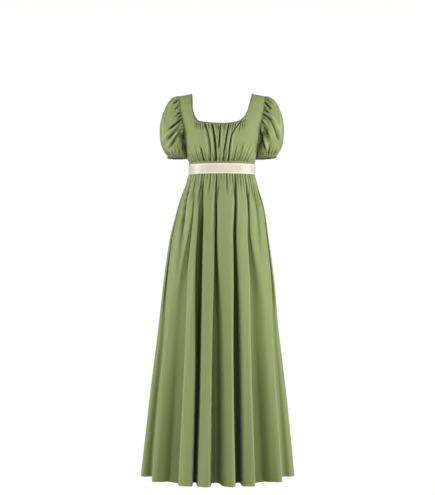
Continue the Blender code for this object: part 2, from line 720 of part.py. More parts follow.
def sleeve_walls(front, back, sign):
    """Return the outer and inner grids of one sleeve."""
    edge, direction, into = armhole_loop(front, back, sign)
    edge = spread_loop(edge, COLUMNS_PER_EDGE)
    direction = unit(spread_loop(direction, COLUMNS_PER_EDGE))
    into = unit(spread_loop(into, COLUMNS_PER_EDGE))
    count = len(edge)
    turn = np.arange(count) * 360.0 / count
    sizes = [flowing(column(SLEEVE_PUFFS, "turn"), column(SLEEVE_PUFFS, name), turn)
             for name in Puff._fields[1:]]
    along, rise, cuff_out, cuff_up = [size[:, None] for size in sizes]
    angle = np.radians(turn)
    outward = np.stack([sign * np.cos(angle), -np.sin(angle), np.zeros(count)], axis=-1)
    reach = np.array([CUFF_HALF_WIDTH, CUFF_HALF_DEPTH, 0.0])
    middle = np.array([sign * CUFF_CENTRE_X, CUFF_CENTRE_Y, SLEEVE_END])
    start = edge + into * SEAM_GAP
    leave = start + into * along + direction * rise
    end = middle + outward * reach
    arrive = end + outward * cuff_out + np.array([0.0, 0.0, 1.0]) * cuff_up
    shares = np.linspace(0.0, 1.0, SLEEVE_ROWS + 1)
    t = (shares ** 0.92)[:, None, None]
    grid = (1.0 - t) ** 3 * start + 3.0 * t * (1.0 - t) ** 2 * leave
    grid = grid + 3.0 * t * t * (1.0 - t) * arrive + t ** 3 * end
    centre = np.zeros_like(grid)
    centre[...] = (edge.mean(axis=0) * (1.0 - t) + middle * t)
    normals = away_from(grid_normals(grid, True), grid, centre)
    normals[0] = direction
    normals[-1] = unit(outward * reach[[1, 0, 2]])
    lift = sleeve_gathers(turn, shares, sign)
    lift = lift + sleeve_creases(grid, normals, sign)
    settle = smooth_step(0.0, 0.12, shares) * smooth_step(1.02, 0.94, shares)
    outer = grid + normals * (lift * settle[:, None])[..., None]
    inner = outer - normals * SLEEVE_WALL
    return outer, inner


def sleeve_gathers(turn, shares, sign):
    """Return the ridges and troughs drawn up at the head and at the cuff of a sleeve."""
    lift = np.zeros((len(shares), len(turn)))
    for index in range(HEAD_GATHERS):
        place = -98.0 + 19.0 * index + 3.5 * math.sin(2.4 * index + sign)
        away = (turn - place + 180.0) % 360.0 - 180.0
        length = 0.34 + 0.09 * math.sin(1.9 * index + 0.7 * sign)
        depth = HEAD_GATHER_DEPTH * (1.0 + 0.30 * math.sin(3.1 * index + 2.0 * sign))
        wave = -np.exp(-(away / 6.5) ** 2)
        lift = lift + depth * wave[None, :] * smooth_step(length, 0.06, shares)[:, None]
    for index in range(CUFF_GATHERS):
        place = 360.0 / CUFF_GATHERS * (index + 0.25 * math.sin(2.1 * index + sign))
        away = (turn - place + 180.0) % 360.0 - 180.0
        length = 0.62 + 0.08 * math.sin(2.7 * index + 1.3 * sign)
        depth = CUFF_GATHER_DEPTH * (1.0 + 0.30 * math.sin(1.3 * index + sign))
        wave = -np.exp(-(away / 7.0) ** 2)
        lift = lift + depth * wave[None, :] * smooth_step(length, 0.95, shares)[:, None]
    return lift


def sleeve_creases(grid, normals, sign):
    """Return the larger creases of a sleeve, front and back."""
    front = LEFT_SLEEVE_FRONT if sign > 0.0 else RIGHT_SLEEVE_FRONT
    across = np.abs(grid[..., 0])
    height = grid[..., 2]
    ahead = smooth_step(0.05, 0.45, -normals[..., 1])
    behind = smooth_step(0.05, 0.45, normals[..., 1])
    lift = press(across, height, front, False) * ahead
    return lift + press(across, height, SLEEVE_BACK, False) * behind


def add_sleeve(name, front, back, sign, material):
    """Add one gathered puff sleeve."""
    outer, inner = sleeve_walls(front, back, sign)
    cells = np.ones((SLEEVE_ROWS, outer.shape[1]), dtype=bool)
    return add_wall(name, outer, inner, cells, True, material)


def add_cuff(name, sign, material):
    """Add the narrow casing that closes one sleeve on the arm."""
    loops = []
    for grow in (CUFF_SWELL, CUFF_SWELL - BAND_WALL):
        levels = []
        for height in (CUFF_BOTTOM, CUFF_TOP):
            loop = level_loop(CUFF_COLUMNS, height, CUFF_HALF_WIDTH, CUFF_HALF_DEPTH,
                              CUFF_HALF_DEPTH, 2.0, grow)
            levels.append(loop + np.array([sign * CUFF_CENTRE_X, CUFF_CENTRE_Y, 0.0]))
        loops.append(np.stack(levels))
    cells = np.ones((1, CUFF_COLUMNS), dtype=bool)
    return add_wall(name, loops[0], loops[1], cells, True, material)


def valley_turn(row, height):
    """Return the turn of a skirt valley at the given heights."""
    knots = [SKIRT_TOP, KNEE_HEIGHT, HEM_HEIGHT]
    return flowing(knots, [row.waist, row.knee, row.hem], height)


def sweep_value(name, height):
    """Return one size of the skirt sections at a height."""
    return flowing(column(SKIRT_SECTIONS, "height"), column(SKIRT_SECTIONS, name), height)


def crest_radius(turn, height):
    """Return how far the crests of the skirt lie from its middle line."""
    angle = np.radians(turn)
    squareness = sweep_value("squareness", height)
    depth = np.where(np.cos(angle) >= 0.0, sweep_value("front_depth", height),
                     sweep_value("back_depth", height))
    across = (np.abs(np.sin(angle)) / sweep_value("half_width", height)) ** squareness
    ahead = (np.abs(np.cos(angle)) / depth) ** squareness
    return (across + ahead) ** (-1.0 / squareness)


def skirt_gathers(turn, height, first, last):
    """Return the short gathers under the ribbon that lie between the main folds."""
    drop = SKIRT_TOP - height
    total = np.zeros_like(turn)
    for index in range(first, last):
        row = SKIRT_FOLDS[index]
        following = next_fold(index)
        start = valley_turn(row, height)
        end = valley_turn(following, height)
        for part in range(row.gathers):
            share = (part + 1.0 + 0.12 * math.sin(3.0 * index + part)) / (row.gathers + 1.0)
            place = start + (end - start) * share
            length = SKIRT_GATHER_LENGTH * (1.0 + 0.35 * math.sin(2.3 * index + 1.7 * part))
            fade = smooth_step(length, 0.02, drop)
            away = (turn - place) / SKIRT_GATHER_WIDTH
            total = total - SKIRT_GATHER_DEPTH * np.exp(-away ** 2) * fade
    return total


def next_fold(index):
    """Return the fold row after this one, a whole turn on when it passes the last."""
    if index + 1 < len(SKIRT_FOLDS):
        return SKIRT_FOLDS[index + 1]
    first = SKIRT_FOLDS[0]
    return first._replace(waist=first.waist + 360.0, knee=first.knee + 360.0,
                          hem=first.hem + 360.0)


def skirt_points(first, last):
    """Return the outer grid of the skirt from one valley to another.

    Each fold is a rolled wave: its crest is broad and its valleys are narrow.
    """
    height = SKIRT_TOP + (HEM_HEIGHT - SKIRT_TOP) * np.array(SKIRT_ROW_SHARES)
    growth = flowing(column(FOLD_GROWTH, "height"), column(FOLD_GROWTH, "share"), height)
    columns = []
    for index in range(first, last):
        row = SKIRT_FOLDS[index]
        following = next_fold(index)
        start = valley_turn(row, height)
        end = valley_turn(following, height)
        steps = COLUMNS_PER_FOLD + (1 if index == last - 1 else 0)
        for step in range(steps):
            roll = step / COLUMNS_PER_FOLD
            wave = 2.0 * math.pi * roll
            narrow = row.narrow + (following.narrow - row.narrow) * roll
            share = roll - narrow / (2.0 * math.pi) * math.sin(wave)
            lift = (1.0 - math.cos(wave)) / 2.0
            depth = row.depth + (following.depth - row.depth) * roll
            turn = start + (end - start) * share
            inset = depth * growth * (1.0 - lift) - row.swell * growth * lift
            columns.append((turn, inset))
    turns = np.stack([item[0] for item in columns], axis=1)
    insets = np.stack([item[1] for item in columns], axis=1)
    heights = np.repeat(height[:, None], turns.shape[1], axis=1)
    radius = crest_radius(turns, heights) - insets
    radius = radius + skirt_gathers(turns, heights, first, last)
    angle = np.radians(turns)
    x = sweep_value("shift", heights) + radius * np.sin(angle)
    y = -radius * np.cos(angle)
    return np.stack([x, y, heights], axis=-1), angle


def skirt_walls(first, last):
    """Return the outer and inner grids of one skirt panel, short of its seams by half the gap."""
    outer, angle = skirt_points(first, last)
    radial = np.stack([np.sin(angle), -np.cos(angle), np.zeros_like(angle)], axis=-1)
    around = np.stack([np.cos(angle), np.sin(angle), np.zeros_like(angle)], axis=-1)
    normals = grid_normals(outer, False)
    middle = COLUMNS_PER_FOLD // 2
    if float(np.sum(normals[3, middle] * radial[3, middle])) < 0.0:
        normals = -normals
    for edge, sign in ((0, 1.0), (-1, -1.0)):
        aside = np.sum(normals[:, edge] * around[:, edge], axis=-1, keepdims=True)
        normals[:, edge] = unit(normals[:, edge] - around[:, edge] * aside)
        outer[:, edge] = outer[:, edge] + around[:, edge] * sign * SEAM_GAP / 2.0
    normals[0, :, 2] = 0.0
    normals[-1, :, 2] = 0.0
    normals = unit(normals)
    return outer, outer - normals * SKIRT_WALL


def add_skirt_panel(name, first, last, material):
    """Add one gathered skirt panel between two of the valleys."""
    outer, inner = skirt_walls(first, last)
    cells = np.ones((outer.shape[0] - 1, outer.shape[1] - 1), dtype=bool)
    return add_wall(name, outer, inner, cells, False, material)


def build_gown():
    """Build every piece of the gown."""
    clear_scene()
    front = bodice_panel(False)
    back = bodice_panel(True)
    add_wall("bodice_front", front[0], front[1], front[3], False,
             finish("bodice_front_crepe", SAGE, 0.72))
    add_wall("bodice_back", back[0], back[1], back[3], False,
             finish("bodice_back_crepe", SAGE, 0.72))
    add_neck_binding(finish("neck_binding_bias", OLIVE_EDGE, 0.70))
    add_sleeve("sleeve_right", front, back, -1.0, finish("sleeve_right_crepe", SAGE, 0.72))
    add_sleeve("sleeve_left", front, back, 1.0, finish("sleeve_left_crepe", SAGE, 0.72))
    add_cuff("cuff_right", -1.0, finish("cuff_right_bias", OLIVE_EDGE, 0.70))
    add_cuff("cuff_left", 1.0, finish("cuff_left_bias", OLIVE_EDGE, 0.70))
    add_band("waistband", (WAISTBAND_BOTTOM, RIBBON_TOP, WAISTBAND_TOP), -BAND_WALL,
             BAND_WALL, finish("waistband_crepe", SAGE_DEEP, 0.72))
    add_band("waist_ribbon", (RIBBON_BOTTOM, RIBBON_TOP), SEAM_GAP, RIBBON_WALL,
             finish("waist_ribbon_satin", CREAM, 0.35))
    add_skirt_panel("skirt_front", 0, FRONT_LAST_FOLD,
                    finish("skirt_front_crepe", SAGE, 0.72))
    add_skirt_panel("skirt_back_left", FRONT_LAST_FOLD, BACK_MIDDLE_FOLD,
                    finish("skirt_back_left_crepe", SAGE, 0.72))
    add_skirt_panel("skirt_back_right", BACK_MIDDLE_FOLD, len(SKIRT_FOLDS),
                    finish("skirt_back_right_crepe", SAGE, 0.72))


build_gown()
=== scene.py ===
"""Regency gown in sage crepe: fine cloth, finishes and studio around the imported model.

Metres, +Z up. The front of the gown faces -Y and the wearer's left is +X.
"""
import logging
import math
from dataclasses import dataclass, field, replace
from enum import Enum

import bpy
import numpy as np
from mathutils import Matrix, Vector


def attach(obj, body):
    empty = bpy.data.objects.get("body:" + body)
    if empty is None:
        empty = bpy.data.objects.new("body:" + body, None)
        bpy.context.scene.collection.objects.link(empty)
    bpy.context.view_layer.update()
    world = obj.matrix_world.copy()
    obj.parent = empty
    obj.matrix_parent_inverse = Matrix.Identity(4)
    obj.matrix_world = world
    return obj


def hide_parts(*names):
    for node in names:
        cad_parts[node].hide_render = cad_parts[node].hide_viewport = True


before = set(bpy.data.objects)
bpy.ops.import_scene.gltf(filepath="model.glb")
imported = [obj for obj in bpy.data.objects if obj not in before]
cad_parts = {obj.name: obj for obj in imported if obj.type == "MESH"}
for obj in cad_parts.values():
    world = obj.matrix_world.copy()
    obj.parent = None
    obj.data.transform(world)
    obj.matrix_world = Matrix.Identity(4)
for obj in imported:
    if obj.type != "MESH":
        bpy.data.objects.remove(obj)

LOG = logging.getLogger("gown")


# --------------------------------------------------------------------------- named choices
class Side(Enum):
    """A side of the gown, as the sign of its distance from the centre line."""

    RIGHT = -1.0
    LEFT = 1.0


class Panel(Enum):
    """The front or the back of the gown."""

    FRONT = "front"
    BACK = "back"


# --------------------------------------------------------------------------- small sums
def flowing(knots: np.ndarray, values: np.ndarray, at: np.ndarray) -> np.ndarray:
    """Read a smooth curve through a table, with no overshoot between its rows.

    Args:
        knots: Where the table's rows lie, in any order.
        values: The table's values there.
        at: Where to read the curve.

    Returns:
        The curve's values.
    """
    order = np.argsort(knots)
    knots = np.asarray(knots, dtype=float)[order]
    values = np.asarray(values, dtype=float)[order]
    step = np.diff(knots)
    rise = np.diff(values) / step
    slope = np.empty_like(values)
    slope[0], slope[-1] = rise[0], rise[-1]
    product = rise[:-1] * rise[1:]
    total = rise[:-1] + rise[1:]
    safe = np.where(np.abs(total) < 1e-12, 1.0, total)
    slope[1:-1] = np.where(product > 0.0, 2.0 * product / safe, 0.0)
    at = np.clip(np.asarray(at, dtype=float), knots[0], knots[-1])
    place = np.clip(np.searchsorted(knots, at) - 1, 0, len(step) - 1)
    width = step[place]
    t = (at - knots[place]) / width
    start = (1.0 + 2.0 * t) * (1.0 - t) ** 2 * values[place]
    leave = t * (1.0 - t) ** 2 * width * slope[place]
    end = t * t * (3.0 - 2.0 * t) * values[place + 1]
    arrive = t * t * (t - 1.0) * width * slope[place + 1]
    return start + leave + end + arrive


def ease(low: float, high: float, value: np.ndarray) -> np.ndarray:
    """Return a share that eases from 0 at low to 1 at high."""
    t = np.clip((value - low) / (high - low), 0.0, 1.0)
    return t * t * (3.0 - 2.0 * t)


def unit(vectors: np.ndarray) -> np.ndarray:
    """Return the vectors scaled to length one."""
    length = np.linalg.norm(vectors, axis=-1, keepdims=True)
    return vectors / np.maximum(length, 1e-12)
def travelled(points: np.ndarray, axis: int = 0) -> np.ndarray:
    """Return how far each point lies along its line, or along one way of a grid."""
    steps = np.linalg.norm(np.diff(points, axis=axis), axis=-1)
    return np.concatenate([np.zeros_like(np.take(steps, [0], axis)), np.cumsum(steps, axis)], axis)


def resampled(line: np.ndarray, travel: np.ndarray, at: np.ndarray) -> np.ndarray:
    """Return points of a line at other travels along it."""
    return np.stack([np.interp(at, travel, part) for part in line.T], axis=-1)


def circle(count: int) -> np.ndarray:
    """Return the angles of evenly spaced points round a circle."""
    return np.linspace(0.0, 2.0 * math.pi, count, endpoint=False)


def wander(seed: float, *places: np.ndarray) -> np.ndarray:
    """Return a smooth uneven wave between about -1 and 1.

    Args:
        seed: Tells one wave from another.
        places: Coordinates, already scaled to the length of the wave.

    Returns:
        The wave's height at each place.
    """
    total = 0.0
    for index, size in enumerate((1.0, 0.6, 0.4)):
        phase = seed * (1.7 + index)
        for turn, place in enumerate(places):
            rate = 1.0 + 0.83 * index + 0.31 * turn
            phase = phase + place * rate * (1.0 if (index + turn) % 2 else -1.0)
        total = total + size * np.sin(phase + 1.3 * index)
    return total / 2.0


# --------------------------------------------------------------------------- tables
@dataclass(frozen=True)
class Section:
    """A level cut through the bodice; depths run forward and back from the shoulder line."""

    height: float
    half_width: float
    front_depth: float
    back_depth: float
    squareness: float


@dataclass(frozen=True)
class Sweep:
    """A level cut through the skirt, measured over the crests of its folds."""

    height: float
    half_width: float
    front_depth: float
    back_depth: float
    shift: float
    squareness: float


@dataclass(frozen=True)
class Edge:
    """A point of the armhole: its height and its turn from centre front, in degrees."""

    height: float
    angle: float


@dataclass(frozen=True)
class Crease:
    """A soft trough across the cloth, seen square on.

    It runs from one point to another, bows aside by bend, and is steeper on one side when skew
    is not zero. Past low_fade of its length it dies away. A crease that starts at a seam keeps
    its full depth there.
    """

    top_x: float
    top_z: float
    low_x: float
    low_z: float
    depth: float
    width: float
    bend: float
    skew: float
    low_fade: float = 0.72
    at_seam: bool = True


@dataclass(frozen=True)
class Gather:
    """A short crease that starts at a seam: where, how it leans, its length and its depth."""

    x: float
    lean: float
    length: float
    depth: float


@dataclass(frozen=True)
class Puff:
    """How one line of a sleeve leaves the armhole and comes into the cuff."""

    turn: float
    along: float
    rise: float
    cuff_out: float
    cuff_up: float


@dataclass(frozen=True)
class Fold:
    """A valley of the skirt and the hanging fold that follows it.

    The valley's turns and half its widths are given in degrees at the waist, the knee, the shin
    and the hem. Below the knee the cloth rolls into it steeply (1) or gently (0) on each side.
    Swell is how far the fold that follows stands out, early is how much of the valley is already
    open near the waist, peak is how far across that fold its crest lies, and shade is how dark
    the painted shade in the valley is. It runs straight to the middle line, or straight back
    from the front where ahead is 1.
    """

    turns: tuple[float, ...]
    gaps: tuple[float, ...]
    depth: float
    roll_in: float
    roll_out: float
    swell: float
    early: float
    peak: float = 0.5
    shade: float = 0.8
    ahead: float = 0.0


@dataclass(frozen=True)
class Roll:
    """A place on the way from the middle of a valley to the crest beside it.

    Gap counts half widths of the valley, rim degrees past its edge, rest the share of the way that
    is left, and lift the share of the valley's depth that the cloth has climbed.
    """

    way: float
    gap: float
    rim: float
    rest: float
    lift: float


@dataclass(frozen=True)
class Tuck:
    """A gather that hangs from the waist seam: its turn, how it leans, its length and depth."""

    turn: float
    lean: float
    length: float
    depth: float
    width: float


@dataclass(frozen=True)
class Drawn:
    """Gathers drawn up at one end of a sleeve.

    Pitch, first and jitter are turns in degrees, width is how wide each trough is, and reach is
    the share of the sleeve's length that they take. They start at its head or at its cuff.
    """

    count: int
    pitch: float
    first: float
    jitter: float
    depth: float
    width: float
    reach: float
    head: bool


def table(kind: type, *rows: tuple) -> tuple:
    """Return rows of numbers as rows of one kind, whose fields name the columns."""
    return tuple(kind(*row) for row in rows)


def loose(*rows: tuple) -> tuple[Crease, ...]:
    """Return creases that start away from any seam."""
    return tuple(replace(crease, at_seam=False) for crease in table(Crease, *rows))


def column(rows: tuple, name: str) -> np.ndarray:
    """Return one named column of a table as an array."""
    return np.array([getattr(row, name) for row in rows], dtype=float)


def read(rows: tuple, by: str, name: str, at: np.ndarray) -> np.ndarray:
    """Return the smooth curve of one named column of a table, read along another."""
    return flowing(column(rows, by), column(rows, name), at)


def pressed(x: np.ndarray, z: np.ndarray, creases: tuple[Crease, ...]) -> np.ndarray:
    """Work out how far a table of creases moves the cloth.

    Args:
        x: Distance across, seen square on.
        z: Height.
        creases: The creases.

    Returns:
        The move along the cloth's outward direction, negative inward, in metres.
    """
    total = np.zeros_like(x)
    for crease in creases:
        run_x = crease.low_x - crease.top_x
        run_z = crease.low_z - crease.top_z
        length = math.hypot(run_x, run_z)
        along = ((x - crease.top_x) * run_x + (z - crease.top_z) * run_z) / length
        aside = ((x - crease.top_x) * run_z - (z - crease.top_z) * run_x) / length
        share = along / length
        held = np.clip(share, 0.0, 1.0)
        aside = aside - crease.bend * 4.0 * held * (1.0 - held)
        fade = ease(1.12, crease.low_fade, share)
        if not crease.at_seam:
            fade = fade * ease(-0.12, 0.24, share)
        widen = 1.0 + 0.55 * np.clip(share, 0.0, 1.2)
        steep = np.where(aside > 0.0, 1.0 + crease.skew, 1.0 - 0.45 * crease.skew)
        spread = (aside / (crease.width * widen * steep)) ** 2
        total = total - crease.depth * (1.0 - 1.1 * spread) * np.exp(-spread) * fade
    return total


def from_seam(gathers: tuple[Gather, ...], seam: float, rising: bool, width: float) -> tuple[Crease, ...]:
    """Turn a table of gathers into creases that leave a level seam.

    Args:
        gathers: The gathers.
        seam: The seam's height.
        rising: Whether they climb from the seam or hang from it.
        width: How wide each trough is.

    Returns:
        One crease for each gather.
    """
    sign = 1.0 if rising else -1.0
    return tuple(
        Crease(gather.x, seam, gather.x + gather.lean * gather.length, seam + sign * gather.length,
               gather.depth, width, 0.0, 0.5 * math.sin(2.3 * index + 0.4), 0.3)
        for index, gather in enumerate(gathers))


def pucker(x: np.ndarray, above: np.ndarray, place: float, lean: float, width: float) -> np.ndarray:
    """Return the shape of one thin pucker that leaves a seam.

    Args:
        x: Distance across.
        above: How far from the seam.
        place: Where it starts.
        lean: How far it moves aside for each metre.
        width: How wide it is.

    Returns:
        A share, 1 along its middle.
    """
    return np.exp(-((x - place - lean * above) / width) ** 2)


# --------------------------------------------------------------------------- finishes
class Wire:
    """A number socket in a material. Arithmetic on it adds Math nodes."""

    def __init__(self, bench: "Bench", socket: bpy.types.NodeSocket) -> None:
        """Keep the socket and the bench that it belongs to."""
        self.bench = bench
        self.socket = socket

    def _math(self, operation: str, first: "Wire | float", second: "Wire | float") -> "Wire":
        """Return a Math node's result on two numbers."""
        node = self.bench.node("ShaderNodeMath", {"operation": operation}, {0: first, 1: second})
        return Wire(self.bench, node.outputs[0])

    def __add__(self, other: "Wire | float") -> "Wire":
        """Return the sum."""
        return self._math("ADD", self, other)

    __radd__ = __add__

    def __mul__(self, other: "Wire | float") -> "Wire":
        """Return the product."""
        return self._math("MULTIPLY", self, other)

    __rmul__ = __mul__

    def __sub__(self, other: "Wire | float") -> "Wire":
        """Return the difference."""
        return self._math("SUBTRACT", self, other)

    def __rsub__(self, other: float) -> "Wire":
        """Return a number less this one."""
        return self._math("SUBTRACT", other, self)

    def sine(self) -> "Wire":
        """Return the sine of this number."""
        return self._math("SINE", self, 0.0)

    def capped(self) -> "Wire":
        """Return this number held between 0 and 1."""
        node = self.bench.node("ShaderNodeClamp", None, {0: self})
        return Wire(self.bench, node.outputs[0])


class Bench:
    """The node tree of a material or a world, and the one way in which nodes are added to it."""

    def __init__(self, holder: bpy.types.Material | bpy.types.World) -> None:
        """Start on a new material or world, with the shader that it comes with.

        Args:
            holder: The material or the world.
        """
        self.holder = holder
        self.holder.use_nodes = True
        self.tree = self.holder.node_tree
        own = "Principled BSDF" if isinstance(holder, bpy.types.Material) else "Background"
        self.shader = self.tree.nodes[own]

    def node(self, kind: str, settings: dict[str, object] | None = None,
             sockets: dict[object, object] | None = None) -> bpy.types.Node:
        """Add a node.

        Args:
            kind: The node's type.
            settings: Its own settings, which are made first.
            sockets: Values or links for its input sockets, by name or number.

        Returns:
            The new node.
        """
        made = self.tree.nodes.new(kind)
        for name, value in (settings or {}).items():
            setattr(made, name, value)
        for key, value in (sockets or {}).items():
            self.feed(made.inputs[key], value)
        return made

    def feed(self, socket: bpy.types.NodeSocket, value: object) -> None:
        """Link a wire or an output to a socket, or set its value.

        Args:
            socket: The input socket.
            value: The wire, the output or the value.
        """
        if isinstance(value, Wire):
            self.tree.links.new(value.socket, socket)
        elif isinstance(value, bpy.types.NodeSocket):
            self.tree.links.new(value, socket)
        else:
            socket.default_value = value

    def cloth_place(self) -> tuple[bpy.types.NodeSocket, Wire, Wire]:
        """Return the place on the cloth, as a vector and as its two numbers.

        Returns:
            The vector, the distance across and the distance along, in metres.
        """
        place = self.node("ShaderNodeUVMap", {"uv_map": "cloth"}).outputs[0]
        split = self.node("ShaderNodeSeparateXYZ", None, {0: place})
        return place, Wire(self, split.outputs[0]), Wire(self, split.outputs[1])

    def object_place(self) -> bpy.types.NodeSocket:
        """Return the place on the piece."""
        return self.node("ShaderNodeTexCoord").outputs["Object"]

    def noise(self, place: bpy.types.NodeSocket, scale: float, detail: float) -> Wire:
        """Return a soft noise at a place."""
        made = self.node("ShaderNodeTexNoise", None, {"Vector": place, "Scale": scale, "Detail": detail})
        return Wire(self, made.outputs[0])

    def attribute(self, name: str) -> Wire:
        """Return a number that the piece's mesh carries."""
        made = self.node("ShaderNodeAttribute", {"attribute_name": name})
        return Wire(self, made.outputs["Fac"])

    def mixed(self, mask: Wire, first: object, second: object) -> bpy.types.NodeSocket:
        """Return a colour between two, by a mask."""
        made = self.node("ShaderNodeMix", {"data_type": "RGBA"}, {0: mask, 6: first, 7: second})
        return made.outputs[2]

    def raised(self, height: Wire, strength: float, distance: float) -> None:
        """Let a height stand out of the surface."""
        bump = self.node("ShaderNodeBump", None,
                         {"Strength": strength, "Distance": distance, "Height": height})
        self.feed(self.shader.inputs["Normal"], bump.outputs[0])

    def in_view(self, plain: bpy.types.Node, last: str) -> None:
        """Show the camera a plain shader, and leave the light on the tree's own.

        Args:
            plain: The plain shader.
            last: The name of the tree's output node.
        """
        seen = self.node("ShaderNodeLightPath").outputs["Is Camera Ray"]
        blend = self.node("ShaderNodeMixShader", None,
                          {0: seen, 1: self.shader.outputs[0], 2: plain.outputs[0]})
        self.feed(self.tree.nodes[last].inputs[0], blend.outputs[0])


def tinted(colour: tuple[float, ...], factor: float) -> tuple[float, ...]:
    """Return a colour made lighter or darker."""
    return tuple(min(1.0, factor * part) for part in colour[:3]) + (1.0,)


@dataclass(frozen=True)
class Crepe:
    """Matte dress crepe: a fine pebbled weave with a soft sheen.

    Painted shade darkens its colour in the folds, and a painted highlight lightens it on their rims and
    ridges.
    """

    name: str
    colour: tuple[float, float, float, float] = (0.285, 0.33, 0.13, 1.0)
    # rim is a painted highlight colour; deep and shade are the painted shade colours of the folds, half and
    # full.
    rim: tuple[float, float, float, float] = (0.42, 0.475, 0.235, 1.0)
    deep: tuple[float, float, float, float] = (0.15, 0.192, 0.052, 1.0)
    shade: tuple[float, float, float, float] = (0.02, 0.03, 0.004, 1.0)
    roughness: float = 0.62
    sheen: float = 0.14
    pebble: float = 0.00022

    def make(self) -> bpy.types.Material:
        """Make the material.

        Returns:
            The finished material.
        """
        bench = Bench(bpy.data.materials.new(self.name))
        shader = bench.shader
        place, across, along = bench.cloth_place()
        pebbles = bench.noise(place, 1500.0, 3.0)
        threads = (across * 9400.0).sine() * (along * 8600.0).sine()
        slubs = bench.noise(place, 90.0, 2.0)
        cloud = bench.noise(place, 9.0, 3.0)
        fold = bench.attribute("fold")
        tone = (cloud - 0.5) * 0.22 + (slubs - 0.5) * 0.1 + (pebbles - 0.5) * 0.16 + 0.5
        drawn = bench.mixed(tone, tinted(self.colour, 0.9), tinted(self.colour, 1.1))
        # Painted highlight from the edge attribute, then painted shade in two steps from the fold attribute.
        light = bench.mixed(bench.attribute("edge"), drawn, self.rim)
        with_painted_half_shade = bench.mixed((fold * 2.0).capped(), light, self.deep)
        colour = bench.mixed((fold * 2.0 - 1.0).capped(), with_painted_half_shade, self.shade)
        bench.feed(shader.inputs["Base Color"], colour)
        bench.feed(shader.inputs["Roughness"], (pebbles - 0.5) * 0.16 + self.roughness)
        bench.raised(pebbles * 0.75 + threads * 0.12 + slubs * 0.25, 0.55, self.pebble)
        shader.inputs["Sheen Weight"].default_value = self.sheen
        shader.inputs["Sheen Roughness"].default_value = 0.45
        shader.inputs["Sheen Tint"].default_value = (0.92, 1.0, 0.78, 1.0)
        shader.inputs["Specular IOR Level"].default_value = 0.28
        return bench.holder


@dataclass(frozen=True)
class Satin:
    """Woven satin ribbon: a smooth warm body between two brighter corded selvedges."""

    name: str
    body: tuple[float, float, float, float] = (0.74, 0.655, 0.565, 1.0)
    selvedge: tuple[float, float, float, float] = (0.95, 0.935, 0.7, 1.0)
    roughness: float = 0.36

    def make(self) -> bpy.types.Material:
        """Make the material.

        Returns:
            The finished material.
        """
        bench = Bench(bpy.data.materials.new(self.name))
        shader = bench.shader
        place, across, along = bench.cloth_place()
        edge = bench.attribute("edge")
        floats = bench.node("ShaderNodeMapping", None, {0: place, "Scale": (60.0, 2600.0, 1.0)})
        streaks = bench.noise(floats.outputs[0], 1.0, 2.0)
        cloud = bench.noise(place, 26.0, 2.0)
        cords = (along * 9000.0).sine() * 0.5 + 0.5
        tone = (streaks - 0.5) * 0.5 + (cloud - 0.5) * 0.4 + 0.5
        body = bench.mixed(tone, tinted(self.body, 0.93), tinted(self.body, 1.07))
        bench.feed(shader.inputs["Base Color"], bench.mixed(edge, body, self.selvedge))
        bench.feed(shader.inputs["Roughness"], (streaks - 0.5) * 0.2 + edge * 0.18 + self.roughness)
        height = streaks * (1.0 - edge) * 0.5 + cords * edge + (across * 5200.0).sine() * 0.08
        bench.raised(height, 0.5, 0.00012)
        shader.inputs["Sheen Weight"].default_value = 0.15
        shader.inputs["Specular IOR Level"].default_value = 0.55
        return bench.holder


@dataclass(frozen=True)
class Thread:
    """Twisted sewing thread."""

    name: str
    colour: tuple[float, float, float, float] = (0.42, 0.47, 0.25, 1.0)

    def make(self) -> bpy.types.Material:
        """Make the material.

        Returns:
            The finished material.
        """
        bench = Bench(bpy.data.materials.new(self.name))
        shader = bench.shader
        twist = bench.noise(bench.object_place(), 2400.0, 1.0)
        bench.feed(shader.inputs["Base Color"], bench.mixed(twist, tinted(self.colour, 0.75), self.colour))
        bench.raised(twist, 0.6, 0.00008)
        shader.inputs["Roughness"].default_value = 0.55
        shader.inputs["Sheen Weight"].default_value = 0.2
        return bench.holder


# --------------------------------------------------------------------------- cloth meshes
def new_piece(name: str, points: np.ndarray, faces: list, material: bpy.types.Material) -> bpy.types.Object:
    """Make a piece at the origin.

    Args:
        name: The piece's name.
        points: Its points.
        faces: Its faces, by the numbers of their points.
        material: Its finish.

    Returns:
        The new object.
    """
    mesh = bpy.data.meshes.new(name)
    mesh.from_pydata(points.reshape(-1, 3).tolist(), [], faces)
    mesh.materials.append(material)
    piece = bpy.data.objects.new(name, mesh)
    bpy.context.scene.collection.objects.link(piece)
    return piece


